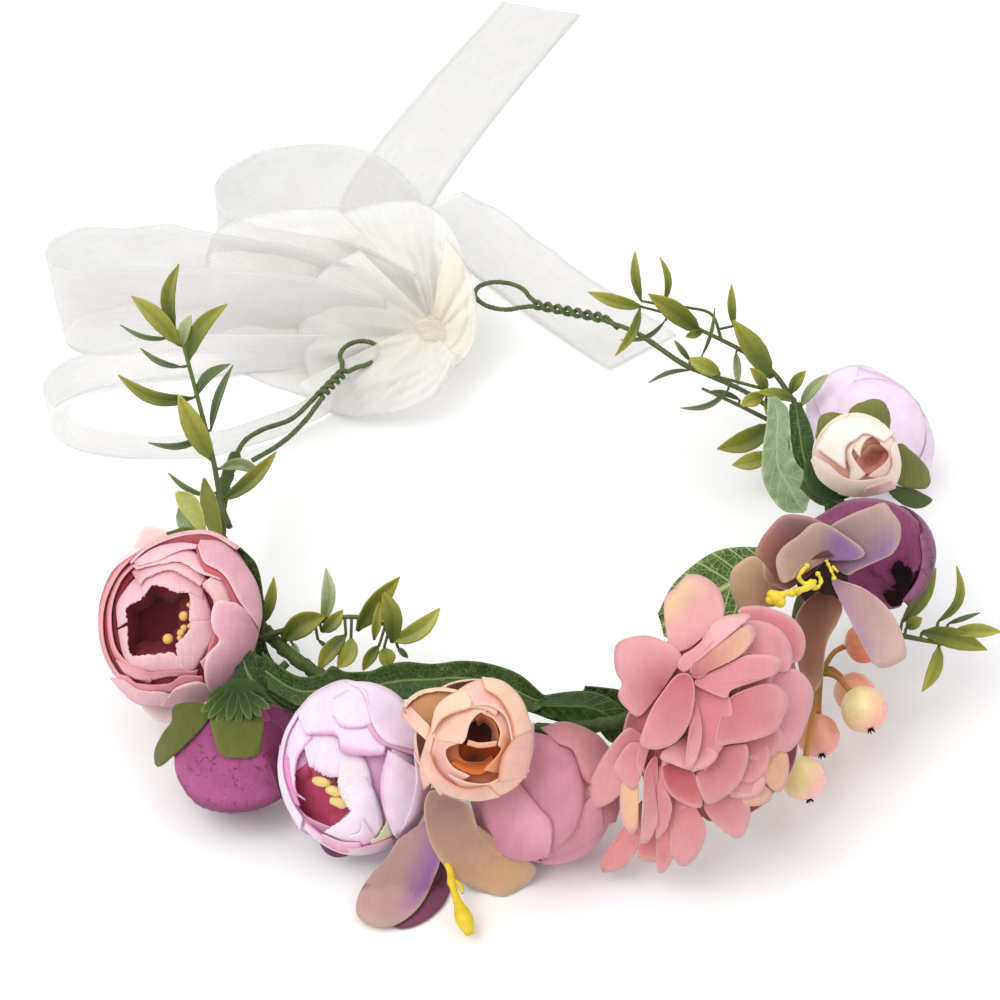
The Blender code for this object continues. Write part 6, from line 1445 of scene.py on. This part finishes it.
# -------------------------------------------------------------- plum bud
C, nn, a, bf, bb = dims("bud_plum")
D = Dome(C, 18.2, 14.5)
acc = Acc()
ball_into(acc, C, nn, ball_prof(a * .93, bf * .93, bb * .93, m=20), 40, col=lin(96, 20, 60))
for k in range(5):
    wrap_petal(acc, C, nn, a, bf, bb, 72 * k + 60, 64, 172, 14, r=0.955 + 0.025 * (k % 3), flare=0.02, drop=18,
               col=shade(lin(116, 42, 82), lin(146, 66, 112), edge=lin(84, 18, 50), seed=k + 70), seed=k + 70, nv=20, skew=8)
band(acc, D, [(812, 520), (850, 500), (890, 502), (918, 522), (930, 550)], [(830, 560), (860, 556), (890, 560), (905, 570), (900, 590)], (138, 60, 102), (124, 50, 88), lift=0.4, rise=0.5, seed=3, nv=14, bow=1)
band(acc, D, [(924, 530), (934, 560), (926, 588), (908, 606)], [(920, 536), (922, 560), (916, 582), (902, 600)], (100, 36, 72), (164, 96, 136), lift=1.0, rise=0.5, seed=4)
make("bud_plum_cloth", acc, "m_petal_crackle", "frame", ["bud_plum"], thick=0.3)
acc = Acc()
patch(acc, D, [(892, 572), (895, 563), (901, 561), (905, 566), (911, 568), (912, 578), (908, 590), (903, 598), (898, 592), (897, 583)], (903, 578), (16, 5, 7), (30, 8, 14), lift=2.0, rise=0.0, seed=8, dome=0.1, jag=0.9, step=1.2)
patch(acc, D, [(884, 596), (889, 591), (896, 592), (903, 598), (899, 605), (891, 606)], (893, 598), (18, 5, 7), (34, 10, 14), lift=2.0, rise=0.0, seed=9, dome=0.1, jag=0.9, step=1.2)
make("bud_plum_shadow", acc, "m_dark", "frame", thick=0.2)
calyx_piece("bud_plum_sep", "bud_plum", 46, "bud_plum_sepals")

# ----------------------------------------------------------- cream rosebud
C, nn, a, bf, bb = dims("rosebud_cream")
D = Dome(C, 14.4, 11.0)
SIL = [(812, 460), (816, 440), (830, 424), (850, 417), (872, 418), (888, 428), (898, 444), (900, 464), (896, 480), (880, 490), (858, 495), (838, 492), (822, 482)]
OPEN = [(859, 461), (866, 452), (872, 447), (882, 449), (888, 452), (882, 464), (872, 470), (862, 470)]
acc = Acc()
back_wraps(acc, "rosebud_cream", 5, ((236, 216, 196), (244, 228, 212)), seed=4, th1=66)
# underlay and opening darken inwards to a brown floor: painted shade on the cream petals
band(acc, D, shrink(SIL, .97), shrink(OPEN, 1.3), (236, 206, 190), (216, 160, 140), lift=-1.2, rise=-0.8, closed=True, seed=2)
band(acc, D, shrink(OPEN, 1.3), shrink(OPEN, .5), (206, 150, 128), (168, 98, 76), lift=-1.6, rise=-3.0, closed=True, seed=3, tuck=0)
patch(acc, D, shrink(OPEN, .6), (873, 459), (170, 96, 74), (178, 108, 84), lift=-4.5, rise=.2, seed=4)
W1, W2, WE = (244, 226, 208), (248, 234, 220), (240, 190, 180)
band(acc, D, [(846, 492), (850, 470), (842, 450), (846, 432)], [(866, 474), (859, 466), (852, 454), (856, 444)], W1, W2, lift=-0.2, rise=0.4, seed=5, edge=WE)
band(acc, D, [(846, 438), (856, 426), (874, 424), (890, 434)], [(860, 458), (863, 445), (872, 437), (884, 446)], W1, (250, 226, 200), lift=0.1, rise=0.4, seed=6, edge=WE)
band(acc, D, [(884, 430), (897, 448), (896, 470), (884, 484)], [(880, 444), (889, 454), (884, 464), (868, 476)], W1, (246, 216, 200), lift=0.3, rise=0.4, seed=7, edge=WE)
band(acc, D, [(816, 448), (832, 424), (858, 416), (880, 422), (894, 434)], [(846, 470), (846, 448), (856, 440), (866, 434), (884, 442)], W2, (250, 236, 226), lift=0.6, rise=0.6, seed=8, nv=12, edge=WE)
band(acc, D, [(896, 440), (901, 464), (896, 484), (880, 492)], [(890, 450), (892, 466), (884, 478), (864, 486)], W2, W1, lift=0.8, rise=0.5, seed=9, edge=WE)
band(acc, D, [(894, 486), (868, 496), (842, 494), (820, 480), (811, 460)], [(888, 476), (866, 480), (846, 478), (828, 464), (814, 456)], W1, W2, lift=1.2, rise=0.7, seed=10, nv=12, edge=(240, 196, 190), bow=.4)
band(acc, D, [(896, 488), (880, 494), (862, 497)], [(892, 480), (878, 484), (866, 488)], (246, 214, 206), WE, lift=1.6, rise=0.4, seed=11)
make("rosebud_cream_cloth", acc, "m_petal_soft", "frame", ["rosebud_cream_petals"], thick=0.3)
DS = Dome(C, 15.5, 6.0, h0=-2.0)
def ex(acc):
    SA, SB = (92, 100, 36), (122, 126, 62)
    patch(acc, DS, [(846, 420), (852, 408), (866, 401), (880, 400), (888, 410), (890, 424), (886, 434), (870, 424)], (872, 430), SA, SB, lift=0, rise=0.6, seed=3, jag=.4, dome=.5)
    patch(acc, DS, [(816, 440), (819, 420), (828, 413), (842, 414), (848, 420), (832, 432), (820, 450)], (838, 436), SA, SB, lift=0.2, rise=0.6, seed=4, jag=.4, dome=.5)
    patch(acc, DS, [(898, 444), (912, 452), (924, 464), (930, 478), (926, 488), (908, 488), (896, 482), (890, 466)], (884, 466), SA, SB, lift=0, rise=0.4, seed=5, jag=.4, dome=.6)
    patch(acc, DS, [(892, 488), (910, 488), (924, 494), (932, 500), (920, 508), (906, 506), (894, 498)], (884, 486), (66, 86, 34), (80, 98, 44), lift=-1.0, rise=0.4, seed=6, jag=.4, dome=.5)
    patch(acc, DS, [(808, 458), (812, 474), (822, 486), (836, 494), (850, 496), (838, 500), (820, 498), (808, 488), (804, 472)], (840, 474), (40, 66, 26), (54, 80, 32), lift=-0.8, rise=0.2, seed=7)
calyx_piece("rosebud_cream_sep", "rosebud_cream", 50, "rosebud_cream_sepals", extra=ex)

# -------------------------------------------------------------- pale peony
C, nn, a, bf, bb = dims("peony_pale")
acc = Acc()
ball_into(acc, C, nn, ball_prof(a * .94, bf * .94, bb * .94, m=20), 44, col=lin(232, 204, 230))
for k in range(6):
    wrap_petal(acc, C, nn, a, bf, bb, 60 * k + 12, 58, 172, 6, r=0.955 + 0.022 * (k % 3), flare=0.02, drop=20,
               col=shade(lin(234, 210, 234), lin(240, 222, 240), edge=lin(232, 190, 224), seed=k + 90), seed=k + 90, nv=20, skew=6)
for v in acc.v:
    v[:, 2] = np.maximum(v[:, 2], 0.15)
D = Dome(C + V(-3, 0, 1), 21.5, 14.0)
PAL, PAM = (232, 208, 232), (242, 224, 242)
band(acc, D, [(846, 440), (834, 446), (822, 440)], [(848, 372), (822, 380), (806, 402)], PAL, PAM, lift=-1.2, rise=.2, seed=2, nv=12)
band(acc, D, [(822, 470), (832, 430), (850, 410)], [(806, 424), (809, 392), (828, 374)], PAL, PAM, lift=-0.6, rise=.3, seed=3, nv=12)
band(acc, D, [(834, 450), (850, 420), (884, 420), (905, 450)], [(812, 396), (834, 371), (866, 366), (896, 384)], PAL, PAM, lift=-0.2, rise=.3, seed=4, nv=14)
band(acc, D, [(850, 440), (880, 436), (900, 460), (896, 478)], [(858, 367), (892, 380), (922, 410), (934, 444)], PAM, PAM, lift=0.1, rise=.4, seed=5, nv=14, edge=(232, 196, 228))
band(acc, D, [(880, 450), (895, 470), (895, 485)], [(926, 416), (934, 444), (928, 478)], PAL, PAM, lift=0.5, rise=.4, seed=6, nv=14)
make("peony_pale_cloth", acc, "m_petal_soft", "frame", ["peony_pale_petals"], thick=0.3)
calyx_piece("peony_pale_sepals", "peony_pale", 34, "peony_pale_calyx")

# ------------------------------------------------- low flower, towards the table
OL = V(-25.5, -112.5, 19.0)
D = Dome(OL + V(0, -8, -8), 34, 7, gy=0.42, fall=0.3, h0=-3)
acc = Acc()
patch(acc, Dome(OL + V(0, -8, -8), 34, 7, gy=0.42, fall=0.3, h0=-3, zmin=0.5), [(440, 862), (452, 878), (446, 900), (432, 916), (414, 926), (398, 928), (390, 918), (412, 890), (432, 870)], (448, 850), (112, 62, 84), (128, 70, 100), lift=-2.2, rise=0.3, seed=1)
patch(acc, Dome(OL + V(0, -8, -8), 34, 7, gy=0.42, fall=0.3, h0=-3, zmin=1.9), [(400, 838), (412, 836), (424, 822), (434, 826), (440, 858), (434, 878), (424, 900), (410, 916), (392, 926), (374, 926), (360, 919), (356, 908), (360, 892), (370, 876), (386, 858)], (430, 818), (176, 138, 140), (188, 152, 144), lift=0.2, rise=0.6, seed=2, dome=2.2, sidec=((146, 92, 162), (1.9, 0.6)), nv=14, step=2.6, edge=(196, 164, 152))
patch(acc, D, [(424, 806), (432, 790), (452, 798), (470, 808), (482, 838), (500, 856), (530, 862), (536, 872), (524, 886), (504, 896), (486, 892), (462, 882), (440, 860), (428, 836)], (440, 800), (160, 124, 118), (202, 160, 126), lift=0.6, rise=0.6, seed=3, dome=1.6, sidec=((206, 162, 120), (0.7, 0.9)), nv=14, step=2.6, edge=(216, 182, 150))
ball_into(acc, OL, V(0, -.9, -.2), ball_prof(3.4, 3.0, 3.4, m=10), 16, col=lin(96, 60, 70))
make("low_flower_cloth", acc, "m_petal_orchid", "frame", ["orchid_low_petals"], thick=0.4)
acc = Acc()
yl = lin(222, 196, 40)
def on_table(p, z):
    return Dome(V(-20, -130, -300), 1e4, 0.0, zmin=z).P(p)
tube_into(acc, smooth_path([(-26, -119, 12), on_table((449, 868), 8.6), on_table((452, 884), 7.4), on_table((457, 900), 6.0), on_table((463, 916), 4.8), on_table((470, 934), 3.6)], 40),
          lambda s: 0.95 + 0.4 * math.sin(s * 9) ** 2 * (s < .5) + 1.5 * math.exp(-((s - .84) / .13) ** 2), 12, col=yl)
tube_into(acc, smooth_path([on_table((451, 880), 7.4), on_table((459, 884), 7.6), on_table((463, 893), 7.6)], 12), lambda s: 0.8 * (1 - .4 * s), 8, col=yl)
make("low_flower_pistil", acc, "m_stamen", "frame", ["orchid_low_pistil"])

# --------------------------------------------------- upper taupe flower
OT = V(78.5, -68.5, 58.5)
D = Dome(OT, 26, 3.5, fall=0.2, h0=-1.0)
acc = Acc()
ball_into(acc, OT - BV * 3, BV, ball_prof(3.2, 2.4, 3.2, m=10), 16, col=lin(60, 34, 22))
# outline, root, root colour, tip colour, lift, side colour and its direction
for k, (ol, bs, c0, c1, l, sc, dm, tl) in enumerate((
    ([(754, 560), (758, 545), (766, 532), (782, 516), (800, 515), (818, 520), (832, 530), (836, 545), (820, 566), (800, 582), (786, 590), (770, 584), (758, 574)], (812, 570), (96, 50, 38), (152, 98, 84), -0.6, ((122, 84, 96), (0.3, -1)), 0.8, (0, 0)),
    ([(730, 585), (731, 572), (740, 562), (752, 556), (762, 562), (764, 578), (778, 590), (786, 596), (776, 606), (760, 608), (744, 612), (734, 600)], (784, 590), (124, 84, 72), (192, 160, 122), 0.4, ((168, 140, 100), (-1, .2)), 0.8, (0.01, 0)),
    ([(828, 530), (850, 515), (868, 508), (884, 503), (892, 512), (900, 524), (900, 540), (892, 554), (876, 562), (858, 570), (846, 575), (832, 560)], (830, 562), (108, 76, 96), (180, 152, 142), -0.4, ((124, 92, 150), (0.8, 0.7)), 1.0, (0.01, 0.0)),
    ([(832, 580), (850, 584), (866, 590), (882, 602), (896, 620), (904, 640), (906, 656), (896, 664), (884, 668), (876, 666), (866, 652), (854, 628), (842, 604)], (832, 578), (164, 128, 132), (212, 178, 168), 0.2, ((146, 112, 176), (-0.95, 0.55)), 1.4, (0.0, 0.0)),
    ([(812, 596), (830, 592), (842, 606), (838, 622), (828, 640), (824, 660), (822, 680), (814, 692), (804, 684), (798, 664), (794, 640), (796, 616)], (824, 586), (74, 38, 24), (156, 106, 82), -1.0, ((180, 136, 110), (0.9, 0.3)), 0.8, (0, 0)),
    ([(776, 560), (784, 546), (798, 536), (812, 524), (826, 524), (846, 536), (862, 548), (864, 556), (852, 560), (838, 556), (820, 556), (800, 566), (788, 582), (780, 580)], (826, 560), (152, 120, 112), (182, 152, 134), 1.4, ((132, 98, 148), (1, 0.1)), 1.2, (0, 0)))):
    patch(acc, D, ol, bs, c0, c1, lift=l, rise=1.2, seed=k + 3, dome=dm, edge=tuple(0.55 * a_ + 0.45 * b_ for a_, b_ in zip(c1, (214, 188, 176))), sidec=sc, nv=12, step=2.6, tuck=2.0, tilt=tl, wav=0.3)
patch(acc, D, [(796, 572), (808, 562), (826, 556), (842, 564), (848, 580), (838, 600), (820, 606), (802, 598)], (822, 580), (40, 20, 16), (66, 38, 34), lift=-2.2, rise=0.2, seed=21)
band(acc, D, [(780, 574), (786, 562), (802, 550), (822, 545)], [(790, 582), (798, 570), (812, 560), (834, 556)], (120, 84, 64), (84, 52, 36), lift=1.4, rise=0.2, seed=9)
tube_into(acc, smooth_path([OT - V(0, -1, 2), (77, -61, 45), (76.5, -60.5, 33.6)], 14), 1.1, 10, col=lin(84, 96, 44))
make("top_flower_cloth", acc, "m_petal_orchid", "frame", ["orchid_top_petals"], thick=0.4)
acc = Acc()
yl = lin(236, 208, 46)
for m_, (pts, r) in enumerate((([(814, 582), (806, 588), (794, 592), (784, 594), (775, 598)], 1.15), ([(808, 585), (802, 582), (799, 577), (803, 570), (807, 566)], .72),
               ([(808, 584), (814, 588), (819, 586), (821, 580), (818, 574)], .66), ([(826, 560), (830, 568), (834, 577)], .5), ([(832, 566), (838, 572)], .45))):
    tube_into(acc, smooth_path([D.P(p, 3.0) for p in pts], 24), lambda s, r=r, m_=m_: r * (1 - .3 * s + .16 * math.sin(17 * s + m_) + .1 * math.sin(31 * s)), 10, col=lambda t, m_=m_: lerp(lin(214, 190, 50), lin(240, 216, 70), 0.5 + .5 * math.sin(9 * t + m_)))
tube_into(acc, smooth_path([D.P((814, 582), 3.0), OT - BV * 2], 8), 0.8, 8, col=yl)
for p, r in (((776, 598), 2.1), ((780, 602), 1.7), ((772, 595), 1.5), ((770, 600), 1.3), ((807, 566), .8), ((818, 574), .75), ((834, 578), .7), ((792, 593), 1.25)):
    dot(acc, D, p, r, (234, 208, 54), 2.8)
make("top_flower_stamens", acc, "m_stamen", "frame", ["orchid_top_stamens"])
